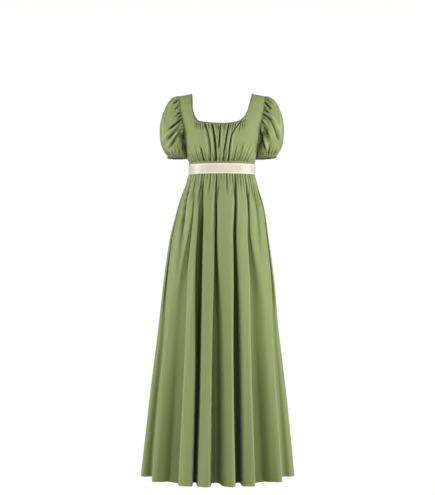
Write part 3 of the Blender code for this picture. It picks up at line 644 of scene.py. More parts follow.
@dataclass
class Sheet:
    """A grid of points on a piece of cloth, with what its material reads.

    Attributes:
        points: Outer points, by row and column.
        outward: The way out of the gown at each point.
        wraps: Whether the last column joins the first.
        cells: Which cells of the grid hold cloth, if not all.
        fold: How deep each point lies in a fold, from 0 to 1, which the finish paints as shade.
        edge: How near each point is to a woven edge, from 0 to 1; on crepe it is instead the
            painted highlight on the rims and ridges of the folds.
    """

    points: np.ndarray
    outward: np.ndarray
    wraps: bool = False
    cells: np.ndarray | None = None
    fold: np.ndarray | None = None
    edge: np.ndarray | None = None

    def flat_places(self) -> np.ndarray:
        """Lay the points out on the flat cloth.

        Returns:
            Their places in metres, with one column more than the points if the sheet wraps.
        """
        points = self.points
        if self.wraps:
            points = np.concatenate([points, points[:, :1]], axis=1)
        width = travelled(points, 1)
        width = width - width[:, width.shape[1] // 2][:, None]
        steady = 0.5 * width + 0.5 * width[points.shape[0] // 2][None, :]
        return np.stack([steady, travelled(points, 0)], axis=-1)

    def sew(self, name: str, material: bpy.types.Material, thickness: float) -> bpy.types.Object:
        """Make the cloth as an object with its thickness turned inward.

        Args:
            name: The piece's name.
            material: Its finish.
            thickness: The cloth's thickness.

        Returns:
            The new object.
        """
        rows, columns = self.points.shape[:2]
        whole = np.ones((rows - 1, columns if self.wraps else columns - 1), dtype=bool)
        row, place = np.nonzero(whole if self.cells is None else self.cells)
        flat = self.flat_places()
        corners, flat_corners = (
            np.stack([row * wide + place, row * wide + after,
                      (row + 1) * wide + after, (row + 1) * wide + place], axis=1)
            for wide, after in ((columns, (place + 1) % columns), (flat.shape[1], place + 1)))
        loose_points = self.points.reshape(-1, 3)
        first, second, _, last = (loose_points[corners[:, corner]] for corner in range(4))
        facing = np.cross(second - first, last - first)
        if np.sum(facing * self.outward.reshape(-1, 3)[corners[:, 0]]) < 0.0:
            corners, flat_corners = corners[:, ::-1], flat_corners[:, ::-1]
        used, renumbered = np.unique(corners, return_inverse=True)
        piece = new_piece(name, loose_points[used], renumbered.reshape(-1, 4).tolist(), material)
        cloth = piece.data.uv_layers.new(name="cloth")
        cloth.data.foreach_set("uv", flat.reshape(-1, 2)[flat_corners].astype(np.float32).ravel())
        for label, values in (("fold", self.fold), ("edge", self.edge)):
            numbers = np.zeros(rows * columns) if values is None else values.reshape(-1)
            layer = piece.data.attributes.new(label, "FLOAT", "POINT")
            layer.data.foreach_set("value", numbers[used].astype(np.float32))
        wall = piece.modifiers.new("cloth wall", "SOLIDIFY")
        wall.thickness = thickness
        wall.offset = -1.0
        finish_piece(piece)
        return piece


def finish_piece(piece: bpy.types.Object, crisp: float = 55.0) -> None:
    """Apply a piece's modifiers and shade it smooth across all but its sharp edges.

    Args:
        piece: The piece.
        crisp: The angle in degrees from which an edge is sharp.
    """
    bpy.ops.object.select_all(action="DESELECT")
    piece.select_set(True)
    bpy.context.view_layer.objects.active = piece
    for modifier in list(piece.modifiers):
        bpy.ops.object.modifier_apply(modifier=modifier.name)
    bpy.ops.object.shade_smooth_by_angle(angle=math.radians(crisp))


def cell_directions(points: np.ndarray, wraps: bool, cells: np.ndarray | float = 1.0) -> np.ndarray:
    """Work out the direction square to the cloth at each point of a grid.

    Args:
        points: The grid.
        wraps: Whether the last column joins the first.
        cells: Which of its cells hold cloth.

    Returns:
        The directions, to either side of the cloth.
    """
    across = np.roll(points, -1, axis=1) if wraps else points[:, 1:]
    near = points if wraps else points[:, :-1]
    faces = np.cross(across[1:] - near[:-1], near[1:] - across[:-1]) * np.asarray(cells)[..., None]
    total = np.zeros_like(points)
    for rows in (slice(None, -1), slice(1, None)):
        if wraps:
            total[rows] += faces + np.roll(faces, 1, axis=1)
        else:
            total[rows, :-1] += faces
            total[rows, 1:] += faces
    return unit(total)


def turned_out(directions: np.ndarray, points: np.ndarray, middle: np.ndarray) -> np.ndarray:
    """Return the directions, each turned to face away from a middle line."""
    inward = np.sum(directions * (points - middle), axis=-1, keepdims=True) < 0.0
    return np.where(inward, -directions, directions)


def tailored(cloth: Sheet, node: str, part: str, finish: Crepe | Satin, wall: float) -> bpy.types.Object:
    """Sew a sheet and let it stand for its CAD node, ride with the gown and take its slot.

    Args:
        cloth: The sheet.
        node: The CAD node.
        part: What follows the node's name in the piece's.
        finish: Its finish, whose name follows the node's in the slot's.
        wall: Its thickness.

    Returns:
        The new object.
    """
    slot = f"{node}_{finish.name}"
    piece = cloth.sew(f"{node}_{part}", replace(finish, name=slot).make(), wall)
    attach(piece, "root")
    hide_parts(node)
    area = sum(face.area for face in piece.data.polygons) / 2.0
    LOG.info("%s: %d faces, %.4f square metres", piece.name, len(piece.data.polygons), area)
    return piece


# --------------------------------------------------------------------------- the form
@dataclass(frozen=True)
class TorsoForm:
    """The hollow form on which the bodice hangs, from the shoulder line to the ribbon."""

    sections: tuple[Section, ...] = table(
        Section,
        (0.0, 0.175, 0.0, 0.0, 2.5), (-0.004, 0.1745, 0.02, 0.02, 2.5),
        (-0.012, 0.174, 0.034, 0.036, 2.5), (-0.03, 0.172, 0.052, 0.06, 2.5),
        (-0.055, 0.169, 0.07, 0.08, 2.5), (-0.088, 0.163, 0.089, 0.094, 2.5),
        (-0.11, 0.155, 0.1, 0.098, 2.5), (-0.13, 0.147, 0.109, 0.1, 2.5),
        (-0.15, 0.142, 0.118, 0.1, 2.5), (-0.17, 0.1385, 0.124, 0.099, 2.5),
        (-0.19, 0.132, 0.1275, 0.097, 2.5), (-0.215, 0.1265, 0.124, 0.0945, 2.4),
        (-0.235, 0.1232, 0.114, 0.093, 2.3), (-0.2535, 0.121, 0.1015, 0.092, 2.2),
        (-0.262, 0.1205, 0.0985, 0.092, 2.2), (-0.3, 0.1205, 0.098, 0.092, 2.2))
    chest: float = -0.13
    strap_inner: float = 0.11
    shoulder_slope: float = 0.18

    def size(self, name: str, height: np.ndarray) -> np.ndarray:
        """Return one size of the form at a height, read so that the round shoulder stays smooth."""
        knots, at = (np.sqrt(np.maximum(-np.asarray(place, dtype=float), 0.0))
                     for place in (column(self.sections, "height"), height))
        return flowing(knots, column(self.sections, name), at)

    def depth(self, ahead: np.ndarray, height: np.ndarray) -> np.ndarray:
        """Return how deep the form is, ahead of the shoulder line or behind it."""
        return np.where(ahead, self.size("front_depth", height), self.size("back_depth", height))

    def ridge(self, x: np.ndarray) -> np.ndarray:
        """Return the height of the shoulder ridge at a distance from the centre line."""
        return -self.shoulder_slope * np.maximum(np.abs(x) - self.strap_inner, 0.0)

    def point(self, turn: np.ndarray, height: np.ndarray, grow: np.ndarray | float = 0.0) -> np.ndarray:
        """Return points of the form.

        Args:
            turn: Turns from centre front, in degrees.
            height: Heights.
            grow: How far they stand out from the form.

        Returns:
            The points.
        """
        turn = np.radians(np.asarray(turn, dtype=float))
        height = np.asarray(height, dtype=float)
        power = 2.0 / self.size("squareness", height)
        half = self.size("half_width", height) + grow
        x = np.sign(np.sin(turn)) * half * np.abs(np.sin(turn)) ** power
        lifted = self.chest + (height - self.chest) * self.chest / (self.chest - self.ridge(x))
        level = np.where(height > self.chest, lifted, height)
        ahead = np.cos(turn) >= 0.0
        depth = (self.depth(ahead, level) + grow) * np.where(ahead, -1.0, 1.0)
        return np.stack([x, depth * np.abs(np.cos(turn)) ** power, height], axis=-1)

    def turn_for(self, x: np.ndarray, height: np.ndarray, panel: Panel) -> np.ndarray:
        """Find the turn about the form that reaches a distance from the centre line.

        Args:
            x: Distances from the centre line, on either side.
            height: Heights.
            panel: Whether to look ahead of the shoulder line or behind it.

        Returns:
            Turns towards the left, in degrees.
        """
        power = self.size("squareness", height) / 2.0
        share = np.clip(np.abs(x) / self.size("half_width", height), 0.0, 1.0) ** power
        turn = np.degrees(np.arcsin(share))
        return 180.0 - turn if panel is Panel.BACK else turn


@dataclass(frozen=True)
class Neckline:
    """The rounded-square neck opening, measured inside its binding."""

    half_width: float = 0.115
    taper: float = 0.135
    close: float = 0.005
    close_height: float = -0.05
    left_half_width: float = 0.11
    left_taper: float = 0.22
    left_squareness: float = 5.4
    front_drop: float = 0.1165
    front_squareness: float = 13.0
    front_rise: float = 0.012
    front_corner: float = 0.96
    back_drop: float = 0.1
    back_squareness: float = 5.0
    back_corner: float = 0.955
    fineness: int = 1441

    def drop(self, panel: Panel) -> float:
        """Return how far the opening dips at the centre."""
        return self.back_drop if panel is Panel.BACK else self.front_drop

    def half(self, panel: Panel, side: Side, margin: float) -> tuple[np.ndarray, int]:
        """Return half the neckline.

        Args:
            panel: Front or back.
            side: The wearer's right or left, which has the rounder corner in front.
            margin: How far the line is set back from the opening.

        Returns:
            The line, as distances from the centre line and heights, and which point is the corner.
        """
        back = panel is Panel.BACK
        left = side is Side.LEFT and not back
        power = self.left_squareness if left else self.back_squareness if back else self.front_squareness
        turn = np.linspace(0.0, math.pi / 2.0, self.fineness)
        share_x = np.sin(turn) ** (2.0 / power)
        height = -(self.drop(panel) + margin) * np.maximum(np.cos(turn), 0.0) ** (2.0 / power)
        if left:
            reach = self.left_half_width + margin + self.left_taper * height
        else:
            reach = self.half_width + margin + self.taper * height
            reach = reach - self.close * ease(self.close_height, 0.0, height)
        if not back:
            height = height * (1.0 - self.front_rise / self.front_drop * share_x ** 2)
        corner = int(np.searchsorted(share_x, self.back_corner if back else self.front_corner))
        return np.stack([reach * share_x, height], axis=-1), corner


# --------------------------------------------------------------------------- bodice
@dataclass
class Bodice:
    """The gathered bodice: a front and a back, joined at the shoulders and sides."""

    form: TorsoForm = field(default_factory=TorsoForm)
    neckline: Neckline = field(default_factory=Neckline)
    bottom: float = -0.2535
    binding_width: float = 0.005
    wall: float = 0.0009
    tucked: float = 0.0012
    gather_width: float = 0.0025
    neck_gather_width: float = 0.0021
    back_gather_width: float = 0.0034
    blouse: float = 0.0022
    fuller: float = 0.0035
    back_seam: float = 0.0007
    seam_rows: int = 4
    front_shares: tuple[float, ...] = (0.0, 0.18, 0.38, 0.58, 0.755, 0.865, 0.945, 1.0)
    back_shares: tuple[float, ...] = (0.0, 0.11, 0.25, 0.4, 0.55, 0.69, 0.81, 0.92, 1.0)
    front_strap: tuple[float, ...] = (1.0, 0.74, 0.5, 0.28, 0.09, 0.0)
    back_strap: tuple[float, ...] = (1.0, 0.66, 0.36, 0.11, 0.0)
    front_corner_turn: float = 47.0
    back_corner_turn: float = 142.0
    armhole_front: tuple[Edge, ...] = table(
        Edge,
        (-0.0085, 61.5), (-0.016, 61.4), (-0.036, 61.1), (-0.062, 61.0), (-0.088, 62.1), (-0.113, 65.2),
        (-0.139, 71.5), (-0.161, 80.5), (-0.17, 90.0))
    armhole_back: tuple[Edge, ...] = table(
        Edge,
        (-0.0085, 118.5), (-0.015, 119.0), (-0.034, 120.3), (-0.06, 121.0), (-0.086, 120.2),
        (-0.112, 117.0), (-0.138, 110.5), (-0.16, 100.5), (-0.17, 90.0))
    centre_folds: tuple[Crease, ...] = table(
        Crease,
        (-0.0605, -0.1215, -0.0425, -0.2535, 0.006, 0.0038, -0.007, 0.6, 0.95),
        (-0.0346, -0.1215, -0.0205, -0.2535, 0.0104, 0.0036, -0.0034, 0.7, 0.98),
        (-0.0074, -0.1215, -0.0145, -0.216, 0.0092, 0.0034, -0.0004, -0.6),
        (0.023, -0.1215, 0.0015, -0.2535, 0.0068, 0.0048, 0.001, -0.5, 0.95),
        (0.059, -0.1215, 0.0308, -0.169, 0.0066, 0.0029, 0.0034, -0.5, 0.78),
        (0.0328, -0.156, 0.02, -0.2535, 0.01, 0.0036, 0.001, -0.7, 0.98, False),
        (-0.0745, -0.205, -0.064, -0.2535, 0.005, 0.0034, 0.001, 0.5, 0.95, False))
    neck_gathers: tuple[Gather, ...] = table(
        Gather,
        (-0.0985, 0.06, 0.014, 0.003), (-0.092, 0.08, 0.02, 0.0038), (-0.086, 0.1, 0.016, 0.0032),
        (-0.079, 0.12, 0.022, 0.0046), (-0.0705, 0.14, 0.028, 0.0041), (-0.064, 0.16, 0.018, 0.0035),
        (-0.049, 0.2, 0.026, 0.0049), (-0.041, 0.24, 0.02, 0.0041), (-0.024, 0.26, 0.024, 0.0043),
        (-0.0155, 0.2, 0.03, 0.0051), (0.002, 0.05, 0.022, 0.0046), (0.011, -0.16, 0.028, 0.0051),
        (0.032, -0.26, 0.024, 0.0049), (0.0405, -0.3, 0.032, 0.0054), (0.0485, -0.26, 0.022, 0.0041),
        (0.066, -0.22, 0.03, 0.0049), (0.0735, -0.16, 0.022, 0.0041), (0.0815, -0.12, 0.018, 0.0032))
    waist_gathers: tuple[Gather, ...] = table(
        Gather,
        (-0.1085, -0.5, 0.055, 0.0041), (-0.102, -0.46, 0.036, 0.0031), (-0.0955, -0.42, 0.078, 0.0055),
        (-0.088, -0.38, 0.042, 0.0034), (-0.0808, -0.34, 0.073, 0.0053), (-0.074, -0.28, 0.044, 0.0036),
        (-0.067, -0.24, 0.065, 0.007), (-0.056, -0.16, 0.047, 0.0041), (-0.031, -0.1, 0.044, 0.0043),
        (-0.01, 0.0, 0.03, 0.0038), (0.013, 0.08, 0.04, 0.0043), (0.033, 0.16, 0.03, 0.0036),
        (0.041, 0.2, 0.068, 0.0053), (0.05, 0.24, 0.042, 0.0034), (0.0586, 0.3, 0.073, 0.0066),
        (0.069, 0.34, 0.049, 0.0041), (0.0793, 0.4, 0.075, 0.0055), (0.086, 0.44, 0.039, 0.0034),
        (0.0918, 0.48, 0.068, 0.005), (0.101, 0.52, 0.047, 0.0038))
    back_gathers: tuple[Gather, ...] = table(
        Gather,
        (-0.056, -0.16, 0.038, 0.0018), (-0.043, -0.12, 0.052, 0.0024), (-0.029, -0.08, 0.046, 0.0026),
        (-0.015, -0.04, 0.06, 0.0024), (0.001, 0.0, 0.05, 0.0026), (0.016, 0.05, 0.058, 0.0024),
        (0.03, 0.08, 0.044, 0.0026), (0.0445, 0.12, 0.054, 0.0022), (0.057, 0.17, 0.036, 0.0018))
    front_grid: tuple[int, int, int] = (10, 120, 44)
    back_grid: tuple[int, int, int] = (7, 70, 34)
    neck_ripples: int = 27
    flat_front: tuple[float, float] = (0.5, 0.3)
    flat_back: tuple[float, float] = (0.4, 0.27)
    _edges: dict[Panel, tuple[np.ndarray, ...]] = field(default_factory=dict)

    def _pattern(self, panel: Panel) -> tuple[np.ndarray, np.ndarray, tuple[Edge, ...], float]:
        """Return how a panel is cut.

        Args:
            panel: Front or back.

        Returns:
            The shares of its rows, those of its strap's, its armhole and its corner's turn.
        """
        shares, strap, armhole, corner = (
            (self.back_shares, self.back_strap, self.armhole_back, self.back_corner_turn)
            if panel is Panel.BACK else
            (self.front_shares, self.front_strap, self.armhole_front, self.front_corner_turn))
        return np.array(shares), np.array(strap), armhole, corner

    def _neck_line(self, panel: Panel, side: Side) -> tuple[np.ndarray, int]:
        """Return the neck edge of the cloth, a little inside the binding, and its corner."""
        return self.neckline.half(panel, side, self.binding_width - self.tucked)

    def _half(self, panel: Panel, side: Side, finer: int, columns: int, sides: int) -> tuple[np.ndarray, ...]:
        """Lay out half a panel from its centre line to its side.

        Args:
            panel: Front or back.
            side: The wearer's right or left.
            finer: How many rows stand for each row of the pattern.
            columns: Columns between the centre line and the neckline's corner.
            sides: Columns from there to the side seam.

        Returns:
            Turns, heights, cells that hold cloth, and each row's number on the pattern.
        """
        shares, strap, armhole, corner_turn = self._pattern(panel)
        lower, upper = len(shares) - 1, len(strap) - 1
        rows = np.linspace(0.0, lower + upper, (lower + upper) * finer + 1)
        middle = 180.0 if panel is Panel.BACK else 0.0
        line, corner = self._neck_line(panel, side)
        travel = travelled(line)
        neck_x, neck_z = resampled(line, travel, np.linspace(0.0, travel[corner], columns + 1)).T
        neck_turn = self.form.turn_for(neck_x, neck_z, panel)
        knots = np.arange(len(armhole) + self.seam_rows, dtype=float)
        seam_z = np.linspace(self.bottom, armhole[-1].height, self.seam_rows + 1)
        edge_z = np.concatenate([seam_z[:-1], column(armhole, "height")[::-1]])
        edge_turn = np.concatenate([np.full(self.seam_rows, 90.0), column(armhole, "angle")[::-1]])
        side_z = flowing(knots, edge_z, rows)[:, None]
        side_turn = flowing(knots, edge_turn, rows)[:, None]
        share = flowing(np.arange(lower + 1), shares, np.minimum(rows, lower))[:, None]
        inner = np.linspace(0.0, 1.0, columns + 1)[None, :]
        outer = np.linspace(0.0, 1.0, sides + 1)[None, :]
        corner_z, corner_at = neck_z[-1], neck_turn[-1]
        rise = flowing(np.arange(upper + 1), corner_z * strap, np.maximum(rows - lower, 0.0))
        rise_x = np.interp(rise, line[:, 1], line[:, 0])
        strap_turn = self.form.turn_for(rise_x, np.minimum(rise, -1e-6), panel)
        on_strap = rows > lower
        low_turn = corner_turn + (corner_at - corner_turn) * share
        low_turn = np.where(on_strap[:, None], strap_turn[:, None], low_turn)
        low_z = self.bottom + (corner_z - self.bottom) * share
        low_z = np.where(on_strap[:, None], rise[:, None], low_z)
        mid_z = self.bottom + (neck_z[0] - self.bottom) * share
        bow = (neck_turn[None, :] - middle - (corner_at - middle) * inner) * share
        bow_z = (neck_z[None, :] - neck_z[0] - (corner_z - neck_z[0]) * inner) * share ** 2
        turns = np.concatenate([middle + (low_turn - middle) * inner + bow,
                                (low_turn + (side_turn - low_turn) * outer)[:, 1:]], axis=1)
        heights = np.concatenate([mid_z + (low_z - mid_z) * inner + bow_z,
                                  (low_z + (side_z - low_z) * outer)[:, 1:]], axis=1)
        turns[on_strap, :columns] = low_turn[on_strap]
        heights[on_strap, :columns] = low_z[on_strap]
        cells = np.ones((len(rows) - 1, columns + sides), dtype=bool)
        cells[lower * finer:, :columns] = False
        return turns, heights, cells, rows

    def sheet(self, panel: Panel, finer: int, columns: int, sides: int) -> Sheet:
        """Make the cloth of a panel with its folds and gathers.

        Args:
            panel: Front or back.
            finer: How many rows stand for each row of the pattern.
            columns: Columns between the centre line and each corner of the neckline.
            sides: Columns from there to each side seam.

        Returns:
            The sheet.
        """
        turns, heights, cells, rows = self._half(panel, Side.LEFT, finer, columns, sides)
        other, other_heights, _, _ = self._half(panel, Side.RIGHT, finer, columns, sides)
        whole = 360.0 if panel is Panel.BACK else 0.0
        turns = np.concatenate([(whole - other[:, ::-1])[:, :-1], turns], axis=1)
        heights = np.concatenate([other_heights[:, ::-1][:, :-1], heights], axis=1)
        cells = np.concatenate([cells[:, ::-1], cells], axis=1)
        points = self.form.point(turns, heights)
        points[-1, :, 1] = 0.0
        points[-1, :, 2] = self.form.ridge(points[-1, :, 0])
        middle = points * 0.0
        middle[..., 2] = np.minimum(points[..., 2], -0.06)
        outward = turned_out(cell_directions(points, False, cells), points, middle)
        lift = self._lift(panel, points, rows)
        # Painted shade in the troughs of the folds and gathers, and a painted highlight on their ridges.
        fold = ease(0.0005, 0.0062, -lift) * 0.95
        rim = ease(0.0001, 0.001, self._folds(panel, points)) * 0.65
        self._edges[panel] = (rows, points, outward)
        return Sheet(points + outward * lift[..., None], outward, False, cells, fold, rim)

    def _folds(self, panel: Panel, points: np.ndarray) -> np.ndarray:
        """Work out how the folds and gathers alone move the cloth in and out.

        Args:
            panel: Front or back.
            points: The panel's points.

        Returns:
            The move at each point.
        """
        x, z = points[..., 0], points[..., 2]
        above = z - self.bottom
        if panel is Panel.BACK:
            lift = pressed(x, z, from_seam(self.back_gathers, self.bottom, True, self.back_gather_width))
            lift = lift + self._fine_gathers(x, above, 0.075, 21, 0.0007, 4.0)
            return lift - self.back_seam * np.exp(-(x / 0.0011) ** 2)
        neck = -(self.neckline.front_drop + self.binding_width)
        lift = pressed(x, z, self.centre_folds)
        lift = lift + pressed(x, z, from_seam(self.neck_gathers, neck, False, self.neck_gather_width))
        lift = lift + pressed(x, z, from_seam(self.waist_gathers, self.bottom, True, self.gather_width))
        lift = lift + self._fine_gathers(x, above, 0.112, 34, 0.0009, 2.0)
        lift = lift + self._neck_ripples(x, neck - z)
        return lift * ease(0.018, 0.004, z + 0.105)

    def _lift(self, panel: Panel, points: np.ndarray, rows: np.ndarray) -> np.ndarray:
        """Work out how a panel's cloth is moved in and out, and flattened at its seams.

        Args:
            panel: Front or back.
            points: The panel's points.
            rows: Each row's number on the pattern.

        Returns:
            The move at each point.
        """
        x, z = points[..., 0], points[..., 2]
        above = z - self.bottom
        lift = self._folds(panel, points) * self._below_neck(panel, x, z)
        calm = ease(0.126, 0.112, np.abs(x)) if panel is Panel.FRONT else ease(0.118, 0.09, np.abs(x))
        soft = 0.0006 * wander(4.0, x * 60.0, z * 38.0) * ease(0.0, 0.02, above)
        settle = ease(0.0, 0.8, rows[-1] - rows)[:, None]
        return (lift * calm + self._fullness(x, above) + soft) * settle

    def _fullness(self, x: np.ndarray, above: np.ndarray) -> np.ndarray:
        """Work out how far the cloth blouses over the waist, a little more at the wearer's right.

        Args:
            x: Distance from the centre line.
            above: Height above the waist seam.

        Returns:
            How far it stands out.
        """
        blouse = self.blouse * ease(0.06, 0.018, above)
        fuller = self.fuller * ease(0.1, 0.124, -x) * ease(0.095, 0.05, above)
        return (blouse + fuller) * ease(0.0, 0.016, above)

    def reach(self, side: Side, depth: np.ndarray, height: np.ndarray) -> np.ndarray:
        """Work out how far the bodice's side stands from the centre line.

        Args:
            side: Which side.
            depth: Distances behind the shoulder line.
            height: Heights.

        Returns:
            The distances.
        """
        power = self.form.size("squareness", height)
        whole = np.maximum(self.form.depth(depth < 0.0, height), 1e-4)
        share = np.clip(np.abs(depth) / whole, 0.0, 1.0) ** power
        half = self.form.size("half_width", height)
        fullness = self._fullness(side.value * half, height - self.bottom)
        return half * (1.0 - share) ** (1.0 / power) + fullness + 0.0005

    def _below_neck(self, panel: Panel, x: np.ndarray, z: np.ndarray) -> np.ndarray:
        """Work out how free the cloth is of the neck binding.

        Args:
            panel: Front or back.
            x: Distance from the centre line.
            z: Height.

        Returns:
            A share that is low at the binding and 1 away from it.
        """
        left, right = (np.interp(np.abs(x), *self._neck_line(panel, side)[0].T)
                       for side in (Side.LEFT, Side.RIGHT))
        return 0.3 + 0.7 * ease(0.0, 0.0045, np.where(x > 0.0, left, right) - z)

    def _fine_gathers(self, x: np.ndarray, above: np.ndarray, reach: float, count: int,
                      depth: float, seed: float) -> np.ndarray:
        """Work out the fine puckers that fan up from the waist seam.

        Args:
            x: Distance from the centre line.
            above: Height above the seam.
            reach: How far to each side they go.
            count: How many there are.
            depth: How deep a middling one is.
            seed: Tells one set from another.

        Returns:
            Their move of the cloth.
        """
        total = np.zeros_like(x)
        for index in range(count):
            place = -reach + 2.0 * reach / count * (index + 0.5 + 0.3 * math.sin(seed + 2.9 * index))
            length = 0.02 + 0.01 * math.sin(seed + 1.7 * index)
            strength = depth * (1.0 + 0.45 * math.sin(seed + 4.1 * index))
            thin = pucker(x, above, place, place / reach * 0.45, 0.002)
            total = total - strength * thin * ease(length, 0.002, above)
        return total

    def _neck_ripples(self, x: np.ndarray, below: np.ndarray) -> np.ndarray:
        """Work out the small ripples drawn up under the neck binding.

        Args:
            x: Distance from the centre line.
            below: Depth below the binding.

        Returns:
            Their move of the cloth.
        """
        total = np.zeros_like(x)
        for index in range(self.neck_ripples):
            place = -0.088 + 0.0068 * (index + 0.35 * math.sin(3.3 * index))
            length = 0.013 + 0.006 * math.sin(1.9 * index + 0.5)
            strength = 0.0008 * (1.0 + 0.5 * math.sin(5.3 * index))
            thin = pucker(x, below, place, -0.9 * place, 0.0019)
            total = total - strength * thin * ease(length, 0.001, below)
        return total * ease(-0.03, -0.004, below)

    def armhole(self, side: Side, count: int) -> tuple[np.ndarray, np.ndarray, np.ndarray]:
        """Return the armhole as a closed loop, from the shoulder down the front and up the back.

        Args:
            side: Which armhole.
            count: How many points it has.

        Returns:
            Edge points, outward directions, and ways from the bodice into the sleeve.
        """
        last, beside = (-1, -2) if side is Side.LEFT else (0, 1)
        edges = len(self.armhole_front) - 1
        knots, values = [], []
        for panel in (Panel.FRONT, Panel.BACK):
            rows, points, outward = self._edges[panel]
            keep = rows >= self.seam_rows
            edge, out = points[keep, last], outward[keep, last]
            along = unit(np.gradient(edge, axis=0))
            into = edge - points[keep, beside]
            into = unit(into - along * np.sum(into * along, axis=-1, keepdims=True))
            place = rows[keep] - self.seam_rows
            place = edges - place if panel is Panel.FRONT else edges + place
            order = np.argsort(place)
            knots.append(place[order])
            values.append(np.concatenate([edge, out, into], axis=-1)[order])
        at = np.arange(count) * 2.0 * edges / count
        read_off = resampled(np.concatenate([values[0], values[1][1:]]),
                             np.concatenate([knots[0], knots[1][1:]]), at)
        under = np.exp(-((at - edges) / 0.7) ** 2)[:, None]
        into = unit(read_off[:, 6:] * (1.0 - under) + np.array([0.0, 0.0, 1.0]) * under)
        return read_off[:, :3], unit(read_off[:, 3:6]), into

    def build(self, crepe: Crepe) -> None:
        """Sew the front and the back.

        Args:
            crepe: Their finish.
        """
        for panel, grid, flat in ((Panel.FRONT, self.front_grid, self.flat_front),
                                  (Panel.BACK, self.back_grid, self.flat_back)):
            piece = tailored(self.sheet(panel, *grid), f"bodice_{panel.value}", "cloth", crepe, self.wall)


@dataclass
class NeckBinding:
    """The narrow rolled bias edge round the neck opening, with its line of edge stitching."""

    bodice: Bodice
    width: float = 0.005
    thickness: float = 0.0022
    ridges: int = 9
    wall: float = 0.0004
    front_points: int = 130
    back_points: int = 100
    flat: tuple[float, float] = (0.8, 0.015)

    def _loop(self, margin: float) -> np.ndarray:
        """Return the whole neckline as a closed loop.

        Args:
            margin: How far it is set back from the opening.

        Returns:
            The loop's points.
        """
        form, neckline = self.bodice.form, self.bodice.neckline
        halves = []
        for side in (Side.LEFT, Side.RIGHT):
            parts = []
            for panel, count in ((Panel.FRONT, self.front_points), (Panel.BACK, self.back_points)):
                line, _ = neckline.half(panel, side, margin)
                travel = travelled(line)
                across, height = resampled(line, travel, np.linspace(0.0, travel[-1], count)).T
                level = np.minimum(height, -1e-7)
                parts.append(form.point(form.turn_for(across, level, panel), level))
            halves.append(np.concatenate([parts[0], parts[1][::-1][1:]]) * np.array([side.value, 1.0, 1.0]))
        return np.concatenate([halves[0], halves[1][::-1][1:-1]])

    def build(self, bias: Crepe, thread: Thread) -> None:
        """Roll the binding round the edge and stitch it.

        Args:
            bias: The binding's finish.
            thread: The stitches' finish.
        """
        opening, seam = self._loop(0.0), self._loop(self.width)
        middle = opening * 0.0
        middle[:, 2] = np.minimum(opening[:, 2], -0.06)
        travel = unit(np.roll(opening, -1, axis=0) - np.roll(opening, 1, axis=0))
        breadth = unit(seam - opening)
        out = turned_out(unit(np.cross(travel, breadth)), opening, middle)
        half = self.thickness / 2.0
        core = (opening + seam) / 2.0 - out * (half - 0.0007)
        rows, outward = [], []
        for angle in circle(self.ridges * 2):
            side, lift = math.cos(angle), math.sin(angle)
            flatten = np.sign(side) * abs(side) ** 0.7
            rows.append(core - breadth * flatten * self.width * 0.56 + out * lift * half * 1.05)
            outward.append(unit(out * lift - breadth * side))
        roll = Sheet(np.stack(rows + rows[:1]), np.stack(outward + outward[:1]), True)
        piece = tailored(roll, "neck_binding", "roll", bias, self.wall)
        path = core + out * (half * 1.02) + breadth * self.width * 0.3
        Stitches("neck_stitches", "neck_binding_bias").build(path, out, thread)


@dataclass
class Stitches:
    """A line of small thread stitches along a closed path."""

    name: str
    slot: str
    pitch: float = 0.003
    length: float = 0.0021
    thickness: float = 0.00042

    def _one(self) -> tuple[np.ndarray, list[tuple[int, ...]]]:
        """Shape one stitch, along its own length.

        Returns:
            Its points and its faces.
        """
        bpy.ops.object.select_all(action="DESELECT")
        bpy.ops.mesh.primitive_uv_sphere_add(segments=6, ring_count=4, radius=0.5)
        one = bpy.context.active_object
        bpy.ops.object.mode_set(mode="EDIT")
        bpy.ops.mesh.select_all(action="SELECT")
        bpy.ops.transform.resize(value=(self.thickness, self.thickness, self.length))
        bpy.ops.object.mode_set(mode="OBJECT")
        shape = np.array([vertex.co[:] for vertex in one.data.vertices])
        faces = [tuple(face.vertices) for face in one.data.polygons]
        bpy.data.objects.remove(one, do_unlink=True)
        return shape, faces

    def build(self, path: np.ndarray, out: np.ndarray, thread: Thread) -> None:
        """Lay the stitches as one piece.

        Args:
            path: The closed path.
            out: The way out of the cloth along it.
            thread: Their finish.
        """
        shape, faces = self._one()
        closed = np.concatenate([path, path[:1]])
        travel = travelled(closed)
        count = int(travel[-1] / self.pitch)
        at = np.arange(count) * travel[-1] / count
        place = resampled(closed, travel, at)
        lift = unit(resampled(np.concatenate([out, out[:1]]), travel, at))
        ahead = unit(np.roll(place, -1, axis=0) - np.roll(place, 1, axis=0))
        points = place[:, None]
        for part, way in enumerate((unit(np.cross(ahead, lift)), lift, ahead)):
            points = points + shape[None, :, part, None] * way[:, None]
        loops = [tuple(index + row * len(shape) for index in face) for row in range(count) for face in faces]
        piece = new_piece(self.name, points, loops, thread.make())
        piece.data.shade_smooth()
        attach(piece, "root")
        LOG.info("%s: %d stitches", self.name, count)


